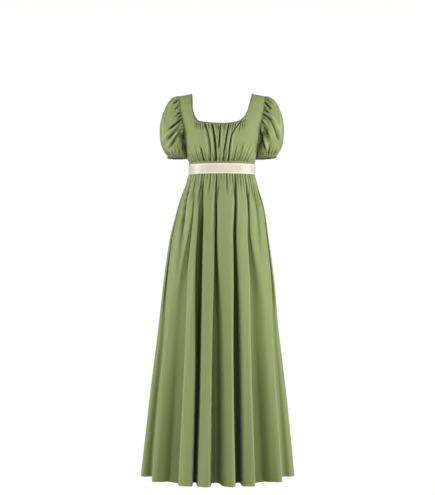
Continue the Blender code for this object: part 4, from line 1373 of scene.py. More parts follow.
# --------------------------------------------------------------------------- sleeves
@dataclass
class Sleeve:
    """A short puff sleeve, gathered into the armhole and into a narrow elastic casing."""

    bodice: Bodice
    side: Side
    creases: tuple[Crease, ...]
    wall: float = 0.0009
    end: float = -0.2292
    cuff_bottom: float = -0.238
    cuff_centre: tuple[float, float] = (0.164, 0.002)
    cuff_half: tuple[float, float] = (0.036, 0.043)
    cuff_tilt: float = 0.01
    clearance: float = 0.0002
    tucked_in: float = 0.0008
    tucked_under: float = 0.0004
    columns: int = 336
    rows: int = 88
    casing_columns: int = 320
    casing_rows: int = 9
    flat: tuple[float, float] = (0.44, 0.25)
    casing_flat: tuple[float, float] = (0.255, 0.0105)
    casing_wall: float = 0.0014
    gathers: tuple[Drawn, ...] = table(
        Drawn,
        (15, 15.5, -110.0, 3.5, 0.0026, 3.6, 0.26, True), (17, 21.2, 0.0, 5.0, 0.005, 4.2, 0.26, False),
        (40, 6.8, -134.0, 1.5, 0.0042, 1.9, 0.12, True), (40, 9.0, 0.0, 2.4, 0.0028, 2.2, 0.12, False))
    side_creases: tuple[Crease, ...] = loose(
        (-0.018, -0.035, -0.048, -0.115, 0.0044, 0.005, 0.003, 0.4),
        (0.006, -0.03, -0.006, -0.085, 0.0034, 0.0042, -0.001, 0.3),
        (0.024, -0.04, 0.046, -0.12, 0.0048, 0.0052, -0.003, -0.4),
        (0.012, -0.08, 0.022, -0.16, 0.004, 0.006, 0.002, 0.4),
        (-0.022, -0.125, -0.01, -0.212, 0.0052, 0.0056, 0.002, -0.4),
        (0.03, -0.135, 0.018, -0.214, 0.0054, 0.005, -0.002, 0.4),
        (0.002, -0.165, 0.006, -0.216, 0.0036, 0.0042, 0.0, 0.3),
        (-0.033, -0.09, -0.04, -0.17, -0.003, 0.007, 0.002, 0.0),
        (0.038, -0.115, 0.034, -0.19, -0.003, 0.007, 0.002, 0.0))
    back_creases: tuple[Crease, ...] = loose(
        (0.162, -0.06, 0.195, -0.12, 0.005, 0.006, 0.003, 0.5),
        (0.156, -0.125, 0.188, -0.19, 0.004, 0.006, -0.003, -0.5),
        (0.175, -0.15, 0.208, -0.175, 0.0022, 0.006, 0.002, 0.3),
        (0.15, -0.1, 0.175, -0.145, 0.006, 0.0044, 0.002, 0.5),
        (0.158, -0.04, 0.178, -0.062, 0.005, 0.0036, 0.0, 0.4),
        (0.15, -0.15, 0.162, -0.214, 0.006, 0.0046, 0.001, 0.5))
    puffs: tuple[Puff, ...] = table(
        Puff,
        (0.0, 0.068, 0.021, 0.053, 0.044), (45.0, 0.042, 0.042, 0.052, 0.05),
        (90.0, 0.018, 0.048, 0.038, 0.05), (135.0, 0.008, 0.03, 0.0184, 0.034),
        (180.0, 0.002, 0.006, 0.0096, 0.026), (225.0, 0.008, 0.03, 0.014, 0.034),
        (270.0, 0.018, 0.048, 0.038, 0.05), (315.0, 0.042, 0.042, 0.052, 0.05),
        (360.0, 0.068, 0.021, 0.053, 0.044))

    def _name(self, part: str) -> str:
        """Return the name of a part on this side."""
        return f"{part}_{self.side.name.lower()}"

    def sheet(self) -> Sheet:
        """Make the cloth of the sleeve with its puff, gathers and creases.

        Returns:
            The sheet.
        """
        sign = self.side.value
        up = np.array([0.0, 0.0, 1.0])
        edge, out, into = self.bodice.armhole(self.side, self.columns)
        turn = np.arange(self.columns) * 360.0 / self.columns
        along, rise, cuff_out, cuff_up = (
            read(self.puffs, "turn", name, turn)[:, None]
            for name in ("along", "rise", "cuff_out", "cuff_up"))
        angle = np.radians(turn)
        away = np.stack([sign * np.cos(angle), -np.sin(angle), np.zeros_like(angle)], axis=-1)
        middle = np.array([sign * self.cuff_centre[0], self.cuff_centre[1], self.end])
        start = edge - into * self.tucked_in - out * self.tucked_under
        leave = start + into * along + out * rise
        finish = middle + away * np.array([*self.cuff_half, 0.0])
        finish[:, 2] += self.cuff_tilt * sign * (finish[:, 0] - middle[0]) - 0.001
        arrive = finish + away * cuff_out + up * cuff_up
        shares = np.linspace(0.0, 1.0, self.rows + 1)
        t = shares[:, None, None]
        points = (1.0 - t) ** 3 * start + 3.0 * t * (1.0 - t) ** 2 * leave
        points = points + 3.0 * t * t * (1.0 - t) * arrive + t ** 3 * finish
        core = edge.mean(axis=0) * (1.0 - t) + middle * t
        outward = turned_out(cell_directions(points, True), points, core + points * 0.0)
        lift = self._gathers(turn, shares) + self._creased(points, outward)
        lift = lift + 0.0012 * wander(2.0 + sign, np.radians(turn)[None, :] * 2.0, shares[:, None] * 7.0)
        lift = lift * (ease(0.0, 0.016, shares) * ease(1.01, 0.97, shares))[:, None]
        # Painted shade along the armhole seam.
        seam = 0.9 * ease(0.026, 0.0, shares)[:, None] + 0.0 * lift
        # Painted shade on the sleeve's inner side, which faces the bodice.
        tucked = ease(0.35, 1.0, -sign * outward[..., 0]) * ease(-0.105, -0.15, points[..., 2]) * 0.85
        # Painted shade in the troughs, and a painted highlight on the ridges away from the inner side.
        fold = np.maximum.reduce([ease(0.0006, 0.0076, -lift) * 0.95, seam, tucked])
        rim = ease(0.0002, 0.0014, lift) * 0.65 * (1.0 - tucked)
        points = self._held_off(points + outward * lift[..., None], edge)
        return Sheet(points, outward, True, None, fold, rim)

    def _held_off(self, points: np.ndarray, edge: np.ndarray) -> np.ndarray:
        """Lay those points that press on the bodice's side just clear of it.

        Args:
            points: Points of the sleeve or its casing.
            edge: The armhole's loop, below which there is a bodice to lie against.

        Returns:
            All the points.
        """
        quarter = len(edge) // 4
        lower = edge[quarter:-quarter]
        order = np.argsort(lower[:, 1])
        below = np.interp(points[..., 1], lower[order, 1], lower[order, 2]) - points[..., 2]
        reach = self.bodice.reach(self.side, points[..., 1], points[..., 2]) + self.clearance
        short = np.maximum(reach - self.side.value * points[..., 0], 0.0) * ease(0.0004, 0.004, below)
        moved = points.copy()
        moved[..., 0] += self.side.value * short
        return moved

    def _gathers(self, turn: np.ndarray, shares: np.ndarray) -> np.ndarray:
        """Work out the ridges and troughs drawn up at the head and at the cuff.

        Args:
            turn: Turns round the sleeve, in degrees.
            shares: Shares of the way down it.

        Returns:
            Their move of the cloth, by row and column.
        """
        sign = self.side.value
        lift = np.zeros((len(shares), len(turn)))
        for number, drawn in enumerate(self.gathers):
            from_end = (shares if drawn.head else 1.0 - shares)[:, None]
            width = drawn.width * (1.0 + 1.2 * from_end)
            for index in range(drawn.count):
                uneven = drawn.jitter * math.sin(2.4 * index + sign + number)
                place = drawn.first + drawn.pitch * index + uneven
                aside = (turn - place + 180.0) % 360.0 - 180.0
                reach = drawn.reach * (1.0 + 0.34 * math.sin(1.9 * index + 0.7 * sign))
                strength = drawn.depth * (1.0 + 0.35 * math.sin(3.1 * index + 2.0 * sign))
                twist = 14.0 * math.sin(1.3 * index + number) * from_end
                spread = ((aside[None, :] + twist) / width) ** 2
                lift = lift - strength * (1.0 - 0.8 * spread) * np.exp(-spread) * ease(reach, 0.02, from_end)
        return lift

    def _creased(self, points: np.ndarray, outward: np.ndarray) -> np.ndarray:
        """Work out the larger creases, front, side and back.

        Args:
            points: The sleeve's points.
            outward: The way out at each.

        Returns:
            Their move of the cloth.
        """
        across, height = np.abs(points[..., 0]), points[..., 2]
        beside = ease(0.55, 0.9, self.side.value * outward[..., 0])
        return (pressed(across, height, self.creases) * ease(0.0, 0.4, -outward[..., 1])
                + pressed(points[..., 1], height, self.side_creases) * beside
                + pressed(across, height, self.back_creases) * ease(0.0, 0.4, outward[..., 1]))

    def build(self, crepe: Crepe, bias: Crepe, thread: Thread) -> None:
        """Sew the sleeve and its casing.

        Args:
            crepe: The sleeve's finish.
            bias: The casing's finish.
            thread: The stitches' finish.
        """
        piece = tailored(self.sheet(), self._name("sleeve"), "cloth", crepe, self.wall)
        self.flat[0] * self.flat[1] * 0.7
        self._casing(bias, thread)

    def _casing(self, bias: Crepe, thread: Thread) -> None:
        """Sew the narrow casing that closes the sleeve on the arm.

        Args:
            bias: Its finish.
            thread: The stitches' finish.
        """
        name = self._name("cuff")
        angle = circle(self.casing_columns)
        away = np.stack([np.cos(angle), np.sin(angle), np.zeros_like(angle)], axis=-1)
        middle = np.array([self.side.value * self.cuff_centre[0], self.cuff_centre[1], 0.0])
        ellipse = middle + away * np.array([*self.cuff_half, 0.0])
        share = np.linspace(0.0, 1.0, self.casing_rows)[:, None]
        number = np.arange(self.casing_rows)[:, None]
        crown = np.sin(np.pi * share)
        pucker_out = 0.0006 * np.sin(angle * 40.0 + 2.0 * np.sin(angle * 5.0))
        grow = 0.0001 + 0.0009 * crown ** 0.5 + pucker_out * (0.4 + 0.6 * crown)
        points = ellipse + away * grow[..., None]
        points[..., 2] = self.cuff_bottom + (self.end + 0.0004 - self.cuff_bottom) * share
        points[..., 2] += self.cuff_tilt * self.side.value * (points[..., 0] - middle[0])
        points[..., 2] += 0.0003 * np.sin(angle * 9.0 + number)
        points[..., 2] += 0.0009 * (1.0 - share) * np.sin(angle * 23.0 + 1.5 * np.sin(angle * 4.0))
        points = self._held_off(points, self.bodice.armhole(self.side, self.casing_columns)[0])
        casing = Sheet(points, np.broadcast_to(away, points.shape).copy(), True)
        piece = tailored(casing, name, "casing", bias, self.casing_wall)
        Stitches(f"{name}_stitches", f"{name}_bias").build(points[-2] + away * 0.00025, away, thread)


# --------------------------------------------------------------------------- waist
@dataclass
class Waist:
    """The flat waistband and the satin ribbon over it."""

    form: TorsoForm
    band_top: float = -0.2538
    ribbon_top: float = -0.262
    ribbon_bottom: float = -0.298
    band_wall: float = 0.0012
    ribbon_wall: float = 0.0008
    selvedge: float = 0.004
    columns: int = 360
    ribbon_rows: int = 33
    ribbon_off: float = 0.0011
    band_flat: tuple[float, float] = (0.69, 0.047)
    ribbon_flat: tuple[float, float] = (0.7, 0.038)

    def _band(self, levels: np.ndarray, lift: np.ndarray, edge: np.ndarray | None = None) -> Sheet:
        """Lay a band round the waist.

        Args:
            levels: The heights of its rows.
            lift: How far each point stands out from the form.
            edge: How near each row is to a woven edge.

        Returns:
            The sheet.
        """
        heights = levels[:, None] + 0.0 * lift
        points = self.form.point(np.degrees(circle(self.columns)) + 0.0 * lift, heights, lift)
        outward = unit(points * np.array([1.0, 1.0, 0.0]))
        return Sheet(points, outward, True, edge=None if edge is None else edge[:, None] + 0.0 * lift)

    def build(self, crepe: Crepe, satin: Satin) -> None:
        """Sew the waistband and lay the ribbon over it.

        Args:
            crepe: The waistband's finish.
            satin: The ribbon's.
        """
        angle = circle(self.columns)
        levels = np.concatenate([np.linspace(self.ribbon_bottom, self.ribbon_top, 4),
                                 np.linspace(self.ribbon_top, self.band_top, 7)[1:]])
        lift = np.zeros((len(levels), self.columns)) - 0.0002
        lift[4:] += 0.0003 * np.sin(angle * 41.0 + 3.0 * np.sin(angle * 3.0))[None, :]
        band = tailored(self._band(levels, lift), "waistband", "cloth", crepe, self.band_wall)
        levels = np.linspace(self.ribbon_bottom, self.ribbon_top, self.ribbon_rows)
        width = self.ribbon_top - self.ribbon_bottom
        span = ((levels - self.ribbon_bottom) / width)[:, None]
        from_edge = np.minimum(span, 1.0 - span) * width
        edge = ease(self.selvedge, self.selvedge * 0.72, from_edge)[:, 0]
        cord = 0.00028 * np.exp(-((from_edge - 0.0014) / 0.0012) ** 2)
        arch = np.sin(np.pi * span)
        uneven = 0.0004 * wander(1.0, angle * 6.0) * (0.5 + 0.5 * np.cos(np.pi * span))
        lift = self.ribbon_off + (cord + 0.0007 * arch ** 1.5) + np.abs(uneven)
        lift = lift + 0.00022 * np.sin(angle * 23.0 + 2.0 * np.sin(angle * 4.0)) * arch
        band = self._band(levels, lift, edge)
        ribbon = tailored(band, "waist_ribbon", "satin_band", satin, self.ribbon_wall)


# --------------------------------------------------------------------------- skirt
@dataclass
class Skirt:
    """The full skirt: a front and two backs, gathered on the waistband and joined in valleys."""

    top: float = -0.2975
    hem: float = -1.398
    knee: float = -0.539
    wall: float = 0.001
    hem_depth: float = 0.026
    softness: float = 0.0024
    sections: tuple[Sweep, ...] = table(
        Sweep,
        (-0.2983, 0.1222, 0.1, 0.094, -0.001, 2.2), (-0.33, 0.13, 0.106, 0.102, -0.0012, 2.2),
        (-0.363, 0.1412, 0.115, 0.113, -0.003, 2.1), (-0.407, 0.156, 0.127, 0.128, -0.0038, 2.1),
        (-0.451, 0.1665, 0.137, 0.14, -0.0052, 2.1), (-0.539, 0.183, 0.153, 0.159, -0.01, 2.1),
        (-0.705, 0.206, 0.179, 0.187, -0.0115, 2.1), (-0.848, 0.22, 0.196, 0.205, -0.013, 2.1),
        (-1.055, 0.2454, 0.217, 0.226, -0.014, 2.1), (-1.2, 0.2613, 0.231, 0.24, -0.015, 2.1),
        (-1.398, 0.2815, 0.25, 0.26, -0.0166, 2.1))
    folds: tuple[Fold, ...] = table(
        Fold,
        ((-92.0, -97.0, -104.0, -107.0), (0.8, 1.2, 1.2, 1.2), 0.05, 0.2, 0.2, 0.0, 0.05),
        ((-82.0, -72.7, -62.6, -59.8), (0.8, 0.9, 1.3, 1.3), 0.085, 0.1, 1.0, 0.0, 0.06, 0.13, 0.3, 1.0),
        ((-50.8, -39.9, -40.6, -40.6), (0.8, 1.5, 7.7, 8.8), 0.054, 0.0, 1.0, 0.0, 0.2, 0.62, 0.6, 1.0),
        ((-38.2, -26.1, -19.8, -18.7), (2.6, 4.2, 2.0, 1.4), 0.08, 1.0, 0.8, 0.0, 0.34, 0.66, 1.0, 1.0),
        ((-10.0, -4.9, -2.4, -1.4), (0.7, 1.2, 3.7, 4.1), 0.082, 0.9, 0.5, 0.0, 0.4, 0.75, 0.64, 1.0),
        ((26.6, 20.4, 17.2, 16.5), (0.8, 1.7, 2.8, 2.1), 0.08, 1.0, 0.7, 0.006, 0.34, 0.6, 0.95, 1.0),
        ((50.8, 39.7, 36.9, 37.6), (0.8, 1.5, 5.0, 7.0), 0.062, 1.0, 0.0, 0.0, 0.2, 0.84, 0.66, 1.0),
        ((78.0, 75.0, 61.6, 59.4), (0.8, 1.0, 2.2, 2.4), 0.085, 1.0, 0.1, 0.0, 0.06, 0.5, 0.16, 1.0),
        ((92.0, 97.0, 104.0, 108.0), (0.8, 1.2, 1.2, 1.2), 0.05, 0.2, 0.2, 0.0, 0.05),
        ((110.0, 115.0, 122.0, 126.0), (0.8, 1.2, 3.0, 3.0), 0.052, 1.0, 0.1, 0.004, 0.12, 0.7),
        ((129.0, 134.0, 140.0, 144.0), (0.8, 2.4, 4.0, 4.0), 0.06, 1.0, 0.2, 0.0, 0.24, 0.66),
        ((152.0, 156.0, 160.0, 163.0), (0.8, 1.2, 1.6, 1.6), 0.056, 0.6, 0.6, 0.006, 0.2, 0.55),
        ((180.0, 180.0, 181.0, 182.0), (0.8, 1.8, 3.2, 3.4), 0.066, 0.9, 0.7, 0.0, 0.28, 0.45),
        ((205.0, 202.0, 200.0, 200.0), (0.8, 1.6, 1.6, 1.4), 0.062, 0.6, 0.9, 0.004, 0.24, 0.4),
        ((228.0, 223.0, 220.0, 219.0), (0.8, 1.6, 4.0, 4.6), 0.056, 0.1, 1.0, 0.0, 0.16, 0.34),
        ((249.0, 243.0, 238.0, 236.0), (0.8, 1.2, 3.0, 3.0), 0.052, 0.1, 1.0, 0.004, 0.1, 0.34))
    steep: tuple[Roll, ...] = table(
        Roll,
        (0.0, 0.0, 0.0, 0.0, 0.0), (0.08, 0.45, 0.0, 0.0, 0.05), (0.16, 0.8, 0.0, 0.0, 0.13),
        (0.24, 0.94, 0.0, 0.0, 0.22), (0.32, 0.99, 0.0, 0.0, 0.4), (0.4, 1.0, 0.04, 0.0, 0.64),
        (0.48, 1.0, 0.18, 0.0, 0.83), (0.56, 1.0, 0.5, 0.0, 0.93), (0.66, 1.0, 1.1, 0.02, 0.965),
        (0.84, 1.0, 1.2, 0.46, 0.985), (1.0, 1.0, 1.2, 1.0, 1.0))
    gentle: tuple[Roll, ...] = table(
        Roll,
        (0.0, 0.0, 0.0, 0.0, 0.0), (0.12, 0.06, 0.1, 0.06, 0.02), (0.25, 0.1, 0.3, 0.16, 0.11),
        (0.4, 0.2, 0.5, 0.32, 0.29), (0.6, 0.5, 0.8, 0.54, 0.56), (0.8, 0.8, 1.0, 0.78, 0.84),
        (1.0, 1.0, 1.2, 1.0, 1.0))
    growth: tuple[tuple[float, float], ...] = (
        (-0.2983, 0.04), (-0.35, 0.095), (-0.41, 0.15), (-0.539, 0.24),
        (-0.74, 0.36), (-1.05, 0.62), (-1.398, 1.0),
    )
    tucks: tuple[Tuck, ...] = table(
        Tuck,
        (-76.7, 16.0, 0.21, 0.0052, 1.4), (-70.0, 14.0, 0.13, 0.0036, 1.1),
        (-64.5, 13.0, 0.26, 0.0066, 1.4), (-59.5, 6.0, 0.11, 0.0036, 1.0),
        (-53.2, 10.0, 0.16, 0.0078, 1.4), (-49.0, 8.0, 0.1, 0.0034, 0.9),
        (-45.6, 10.0, 0.1, 0.005, 1.1), (-39.9, 6.0, 0.16, 0.01, 1.4), (-35.6, 12.0, 0.2, 0.0092, 1.1),
        (-29.6, 10.0, 0.09, 0.0036, 1.1), (-23.2, 10.0, 0.12, 0.0068, 1.3),
        (-16.5, 6.0, 0.08, 0.0034, 1.1), (-10.8, 5.0, 0.34, 0.0092, 1.2),
        (-1.3, 5.0, 0.07, 0.0034, 1.1), (4.4, 2.0, 0.06, 0.003, 1.0), (10.0, 3.0, 0.11, 0.0076, 1.4),
        (15.6, 1.0, 0.07, 0.0036, 1.1), (21.4, -2.0, 0.1, 0.005, 1.1), (26.6, -9.0, 0.3, 0.0098, 1.4),
        (31.5, -6.0, 0.08, 0.0034, 1.0), (36.5, -9.0, 0.12, 0.005, 1.2),
        (41.8, -9.0, 0.11, 0.0044, 1.1), (47.4, -8.0, 0.26, 0.0088, 1.4),
        (53.0, -4.0, 0.09, 0.0036, 1.0), (58.2, -4.0, 0.2, 0.0068, 1.4), (63.5, -5.0, 0.1, 0.0038, 1.1),
        (68.6, -6.0, 0.23, 0.006, 1.4), (76.0, -6.0, 0.14, 0.0046, 1.3),
        (-65.0, 12.0, 0.62, 0.0062, 1.7), (63.5, -7.0, 0.52, 0.0054, 1.7))
    back_tucks: int = 30
    fine_tucks: int = 64
    front_folds: int = 8
    back_middle: int = 12
    columns_per_roll: int = 24
    shin: float = -1.03
    rows: int = 116
    flat_front: tuple[float, float] = (1.3, 1.13)
    flat_back: tuple[float, float] = (0.56, 1.13)

    def _valley(self, fold: Fold, height: np.ndarray) -> np.ndarray:
        """Return the turn of a valley at the given heights."""
        return flowing(np.array([self.top, self.knee, self.shin, self.hem]), np.array(fold.turns), height)

    def _gap(self, fold: Fold, height: np.ndarray) -> np.ndarray:
        """Return half the width of a valley in degrees at the given heights."""
        return flowing(np.array([self.top, self.knee, self.shin, self.hem]), np.array(fold.gaps), height)

    def _rolled(self, fold: Fold, rising: bool, way: float, height: np.ndarray,
                valley: np.ndarray, middle: np.ndarray) -> tuple[np.ndarray, np.ndarray]:
        """Follow the cloth from a valley towards the crest beside it.

        Args:
            fold: The valley.
            rising: Whether the crest lies after it, and not before it.
            way: How far along, from 0 in the valley to 1 on the crest.
            height: The heights.
            valley: The valley's turns at those heights.
            middle: The crest's turns.

        Returns:
            Turns and the share climbed.
        """
        weight = fold.roll_out if rising else fold.roll_in
        weight = 1.0 - (1.0 - weight) * ease(0.14, 0.58, self.top - height)
        gap, rim, rest, lift = (
            weight * float(read(self.steep, "way", name, way))
            + (1.0 - weight) * float(read(self.gentle, "way", name, way))
            for name in ("gap", "rim", "rest", "lift"))
        sign = 1.0 if rising else -1.0
        room = np.abs(middle - valley)
        beyond = np.minimum(1.0, room / 3.0)
        width = np.minimum(self._gap(fold, height), room - 1.3 * beyond)
        rolled = valley + sign * (width * gap + rim * beyond)
        rolled = rolled + (middle - valley - sign * (width + 1.2 * beyond)) * rest
        even = valley + (middle - valley) * way
        return even + (rolled - even) * ease(0.01, 0.11, self.top - height), lift

    def _next(self, index: int) -> Fold:
        """Return the fold after this one, a whole turn on when it passes the last."""
        first = replace(self.folds[0], turns=tuple(turn + 360.0 for turn in self.folds[0].turns))
        return (*self.folds, first)[index + 1]

    def _size(self, name: str, height: np.ndarray) -> np.ndarray:
        """Return one size of the skirt's sections at a height."""
        return read(self.sections, "height", name, height)

    def _crest(self, turn: np.ndarray, height: np.ndarray) -> np.ndarray:
        """Work out how far the crests lie from the skirt's middle line.

        Args:
            turn: Turns from centre front, in degrees.
            height: Heights.

        Returns:
            The distances.
        """
        angle = np.radians(turn)
        power = self._size("squareness", height)
        front, back = self._size("front_depth", height), self._size("back_depth", height)
        depth = np.where(np.cos(angle) >= 0.0, front, back)
        across = (np.abs(np.sin(angle)) / self._size("half_width", height)) ** power
        ahead = (np.abs(np.cos(angle)) / depth) ** power
        return (across + ahead) ** (-1.0 / power)

    def _all_tucks(self) -> tuple[Tuck, ...]:
        """Return the front's gathers and uneven ones like them across the back."""
        pitch = 196.0 / self.back_tucks
        return self.tucks + tuple(
            Tuck(82.0 + pitch * (index + 0.5 + 0.28 * math.sin(2.7 * index)), 0.0,
                 0.15 + 0.08 * math.sin(1.9 * index), 0.0042 + 0.0018 * math.sin(4.3 * index),
                 1.5 + 0.3 * math.sin(3.1 * index))
            for index in range(self.back_tucks))

    def _gathered(self, turn: np.ndarray, height: np.ndarray) -> np.ndarray:
        """Work out how the gathers under the ribbon move the cloth in and out.

        Args:
            turn: Turns from centre front, in degrees.
            height: Heights.

        Returns:
            The move at each point.
        """
        drop = np.maximum(self.top - height, 0.0)
        spread = 1.0 + 2.2 * drop / 0.25
        total = np.zeros_like(turn)
        for tuck in self._all_tucks():
            at = tuck.turn + tuck.lean * ease(0.0, 0.3, drop)
            aside = ((turn - at) / (tuck.width * spread)) ** 2
            total = total - tuck.depth * (1.0 - 0.9 * aside) * np.exp(-aside) * ease(tuck.length, 0.006, drop)
        for index in range(self.fine_tucks):
            at = -82.0 + 360.0 * (index + 0.32 * math.sin(3.7 * index)) / self.fine_tucks
            strength = 0.0011 * (1.0 + 0.5 * math.sin(5.1 * index))
            length = 0.03 + 0.016 * math.sin(2.1 * index)
            total = total - strength * pucker(turn, drop, at, 0.0, 0.9) * ease(length, 0.002, drop)
        return total * (0.15 + 0.85 * ease(0.0, 0.0035, drop))

    def sheet(self, first: int, last: int) -> Sheet:
        """Make the cloth between two of the valleys.

        Args:
            first: The valley at which it starts, by its row in the table.
            last: The valley at which it ends.

        Returns:
            The sheet.
        """
        even = np.linspace(0.0, 1.0, self.rows + 1)
        height = self.top + (self.hem - self.top) * (0.4 * even + 0.6 * even ** 1.9)
        drop = self.top - height
        growth = flowing(*np.array(self.growth).T, height)
        columns = []
        for index in range(first, last):
            fold, following = self.folds[index], self._next(index)
            start, end = self._valley(fold, height), self._valley(following, height)
            middle = start + (end - start) * (0.5 + (fold.peak - 0.5) * ease(0.04, 0.18, drop))
            for step in range(2 * self.columns_per_roll + (1 if index == last - 1 else 0)):
                way = step / self.columns_per_roll
                rising = way <= 1.0
                near = fold if rising else following
                turn, lift = self._rolled(near, rising, way if rising else 2.0 - way, height,
                                          start if rising else end, middle)
                opened = growth + near.early * ease(0.0, 0.2, drop) * (1.0 - growth)
                inset = near.depth * opened * (1.0 - lift) - fold.swell * opened * lift ** 2
                # Painted shade deep in each valley, fainter near the waist, and a painted highlight along the
                # folds' crisp rims.
                shade = 1.0 + (near.shade - 1.0) * ease(0.16, 0.6, drop)
                deep = (1.0 - lift) * ease(0.003, 0.05, near.depth * opened) * shade
                crisp = ease(0.92, 1.0, near.roll_out if rising else near.roll_in)
                rim = crisp * np.exp(-((lift - 0.9) / 0.05) ** 2) * ease(0.05, 0.2, drop)
                columns.append((turn, inset, near.ahead * (1.0 - lift), deep, rim))
        turn, inset, straight, deep, rim = (np.stack(part, axis=1) for part in zip(*columns))
        heights = np.repeat(height[:, None], turn.shape[1], axis=1)
        seam = self._valley(self.folds[0], height)[:, None]
        beside = np.minimum(np.abs(turn - seam), np.abs(turn - seam - 360.0))
        gathered = self._gathered(turn, heights) * ease(0.0, 2.5, beside)
        soft = self.softness * wander(6.0, np.radians(turn) * 15.0, heights * 2.6)
        soft = soft * ease(0.05, 0.45, self.top - heights) * ease(0.0, 5.0, beside)
        stitched = 0.0004 * np.exp(-((heights - self.hem - self.hem_depth) / 0.0018) ** 2)
        straight = np.ceil(straight)
        radius = self._crest(turn, heights) - inset * (1.0 - straight) + gathered + soft - stitched
        angle = np.radians(turn)
        points = np.stack([self._size("shift", heights) + radius * np.sin(angle),
                           inset * straight - radius * np.cos(angle), heights], axis=-1)
        outward = cell_directions(points, False)
        radial = np.stack([np.sin(angle), -np.cos(angle), np.zeros_like(angle)], axis=-1)
        if np.sum(outward * radial) < 0.0:
            outward = -outward
        # Painted shade in the valleys and the gathers' troughs; a painted highlight on the rims and the
        # gathers' ridges.
        painted_fold_shade = np.maximum(deep, ease(0.0008, 0.0056, -gathered) * 0.9)
        return Sheet(points, outward, False, None, painted_fold_shade,
                     np.maximum(rim, ease(0.0001, 0.0009, gathered) * 0.8))

    def build(self, crepe: Crepe) -> None:
        """Sew the front and the two halves of the back.

        Args:
            crepe: Their finish.
        """
        plans = (("skirt_front", 0, self.front_folds, self.flat_front),
                 ("skirt_back_left", self.front_folds, self.back_middle, self.flat_back),
                 ("skirt_back_right", self.back_middle, len(self.folds), self.flat_back))
        for name, first, last, flat in plans:
            piece = tailored(self.sheet(first, last), name, "cloth", crepe, self.wall)


# --------------------------------------------------------------------------- studio
@dataclass(frozen=True)
class Lamp:
    """A soft rectangular lamp: where it hangs, what it faces, its size and its power."""

    name: str
    place: tuple[float, float, float]
    aim: tuple[float, float, float]
    size: tuple[float, float]
    power: float

    def hang(self) -> None:
        """Hang the lamp."""
        bpy.ops.object.select_all(action="DESELECT")
        bpy.ops.object.light_add(type="AREA", location=self.place)
        lamp = bpy.context.active_object
        lamp.name = self.name
        lamp.data.shape = "RECTANGLE"
        lamp.data.size, lamp.data.size_y = self.size
        lamp.data.energy = self.power
        lamp.rotation_euler = (Vector(self.aim) - Vector(self.place)).to_track_quat("-Z", "Y").to_euler()


@dataclass
class Studio:
    """A plain pale sweep, soft lamps to the front and the sides, and the camera."""

    floor_height: float = -1.437
    floor_size: float = 60.0
    camera_place: tuple[float, float, float] = (-0.0166, -4.4, -0.565)
    lens: float = 86.96
    world_light: float = 0.16
    white: tuple[float, float, float, float] = (1.0, 1.0, 1.0, 1.0)
    lamps: tuple[Lamp, ...] = table(
        Lamp,
        ("front_softbox", (0.35, -2.4, 0.9), (0.0, 0.0, -0.6), (1.1, 1.1), 43.0),
        ("left_strip", (-2.6, -0.4, -0.3), (0.0, 0.0, -0.7), (0.6, 2.2), 40.0),
        ("right_strip", (2.6, -0.5, -0.3), (0.0, 0.0, -0.7), (0.6, 2.2), 42.0),
        ("back_softbox", (0.4, 3.4, 0.9), (0.0, 0.0, -0.6), (1.6, 1.8), 34.0))

    def _floor(self) -> None:
        """Roll out the floor, which looks plain white to the camera."""
        bpy.ops.object.select_all(action="DESELECT")
        bpy.ops.mesh.primitive_plane_add(size=self.floor_size, location=(0.0, 0.0, self.floor_height))
        floor = bpy.context.active_object
        floor.name = "studio_floor"
        bench = Bench(bpy.data.materials.new("studio_paper"))
        grain = bench.noise(bench.object_place(), 14.0, 2.0)
        paper = bench.mixed(grain, (0.8, 0.8, 0.8, 1.0), (0.84, 0.84, 0.84, 1.0))
        bench.feed(bench.shader.inputs["Base Color"], paper)
        bench.shader.inputs["Roughness"].default_value = 0.9
        glow = bench.node("ShaderNodeEmission", None, {"Color": self.white, "Strength": 1.0})
        bench.in_view(glow, "Material Output")
        floor.data.materials.append(bench.holder)

    def _air(self) -> None:
        """Fill the room with a little even light, before a white backdrop."""
        air = Bench(bpy.data.worlds.new("studio_air"))
        bpy.context.scene.world = air.holder
        air.shader.inputs[0].default_value = self.white
        air.shader.inputs[1].default_value = self.world_light
        air.in_view(air.node("ShaderNodeBackground", None, {0: self.white, 1: 1.0}), "World Output")

    def build(self) -> None:
        """Set the floor, the world, the lamps and the camera."""
        self._floor()
        self._air()
        for lamp in self.lamps:
            lamp.hang()
        bpy.ops.object.camera_add(location=self.camera_place, rotation=(math.pi / 2.0, 0.0, 0.0))
        camera = bpy.context.active_object
        camera.data.sensor_width = 36.0
        camera.data.lens = self.lens
        camera.data.clip_start = 0.05
        scene = bpy.context.scene
        scene.camera = camera
        scene.view_settings.view_transform = "Standard"
        scene.view_settings.look = "None"
        LOG.info("studio: floor, %d lamps and camera", len(self.lamps))


RIGHT_SLEEVE_CREASES = loose(
    (0.1485, -0.095, 0.199, -0.137, 0.011, 0.0044, 0.003, 0.8, 0.55),
    (0.1509, -0.1081, 0.22, -0.168, -0.005, 0.0046, 0.001, 0.0, 0.7),
    (0.147, -0.1165, 0.212, -0.183, 0.0062, 0.005, 0.001, 0.4, 0.7),
    (0.149, -0.1245, 0.204, -0.202, -0.004, 0.0046, 0.002, 0.0, 0.8),
    (0.143, -0.13, 0.193, -0.208, 0.0056, 0.0048, -0.002, 0.4),
    (0.138, -0.129, 0.14, -0.22, 0.01, 0.0056, 0.0, 0.3),
    (0.1632, -0.0258, 0.18, -0.0374, 0.007, 0.003, 0.0, 0.5),
    (0.1723, -0.0152, 0.193, -0.031, 0.005, 0.003, 0.0, 0.4),
    (0.1575, -0.046, 0.172, -0.063, 0.0056, 0.003, 0.0, -0.4),
    (0.1505, -0.068, 0.172, -0.091, 0.0044, 0.0036, 0.0, 0.3),
    (0.1485, -0.083, 0.165, -0.099, 0.0052, 0.0032, 0.0, 0.3))
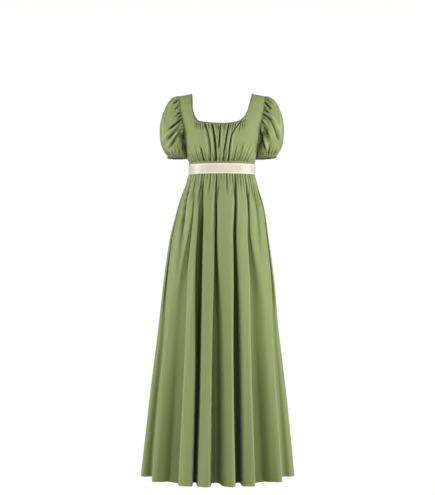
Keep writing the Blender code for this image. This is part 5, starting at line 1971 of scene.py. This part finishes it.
LEFT_SLEEVE_CREASES = loose(
    (0.1565, -0.029, 0.181, -0.059, 0.008, 0.0034, 0.001, 0.6),
    (0.164, -0.02, 0.185, -0.04, 0.0044, 0.003, 0.0, 0.3),
    (0.15, -0.054, 0.172, -0.077, 0.005, 0.0052, 0.001, -0.4),
    (0.142, -0.074, 0.18, -0.106, 0.01, 0.004, -0.001, -0.5, 0.6),
    (0.173, -0.096, 0.2082, -0.18, 0.006, 0.0076, -0.002, -0.3, 0.8),
    (0.144, -0.096, 0.17, -0.13, -0.004, 0.0056, 0.0, 0.0),
    (0.14, -0.1, 0.16, -0.125, 0.005, 0.0034, 0.0, 0.3),
    (0.147, -0.12, 0.17, -0.178, 0.006, 0.0068, -0.002, 0.4),
    (0.1375, -0.125, 0.156, -0.213, 0.012, 0.004, 0.001, 0.6),
    (0.145, -0.128, 0.164, -0.21, -0.005, 0.004, -0.001, 0.0),
    (0.134, -0.13, 0.142, -0.22, 0.008, 0.005, 0.0, 0.3))


def main() -> None:
    """Build the gown piece by piece, then the studio, logging each piece's size."""
    logging.basicConfig(level=logging.INFO, format="%(message)s")
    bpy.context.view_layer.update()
    crepe = Crepe("crepe")
    # The binding's and casings' crepe is darker and browner: painted shade along the neck edge and the cuffs.
    bias = Crepe("bias", (0.2, 0.19, 0.085, 1.0), (0.32, 0.3, 0.16, 1.0),
                 (0.12, 0.115, 0.05, 1.0), (0.06, 0.06, 0.025, 1.0), 0.7, 0.15)
    thread = Thread("sewing_thread")
    bodice = Bodice()
    bodice.build(crepe)
    NeckBinding(bodice).build(bias, thread)
    Sleeve(bodice, Side.RIGHT, RIGHT_SLEEVE_CREASES).build(crepe, bias, thread)
    Sleeve(bodice, Side.LEFT, LEFT_SLEEVE_CREASES, cuff_centre=(0.1626, 0.002),
           cuff_half=(0.0374, 0.043), cuff_tilt=0.075).build(crepe, bias, thread)
    # The waistband takes a darker copy of the crepe: painted shade on the strip above the ribbon.
    Waist(bodice.form).build(replace(crepe, colour=(0.25, 0.285, 0.125, 1.0)), Satin("satin"))
    Skirt().build(crepe)
    Studio().build()


if __name__ == "__main__":
    main()
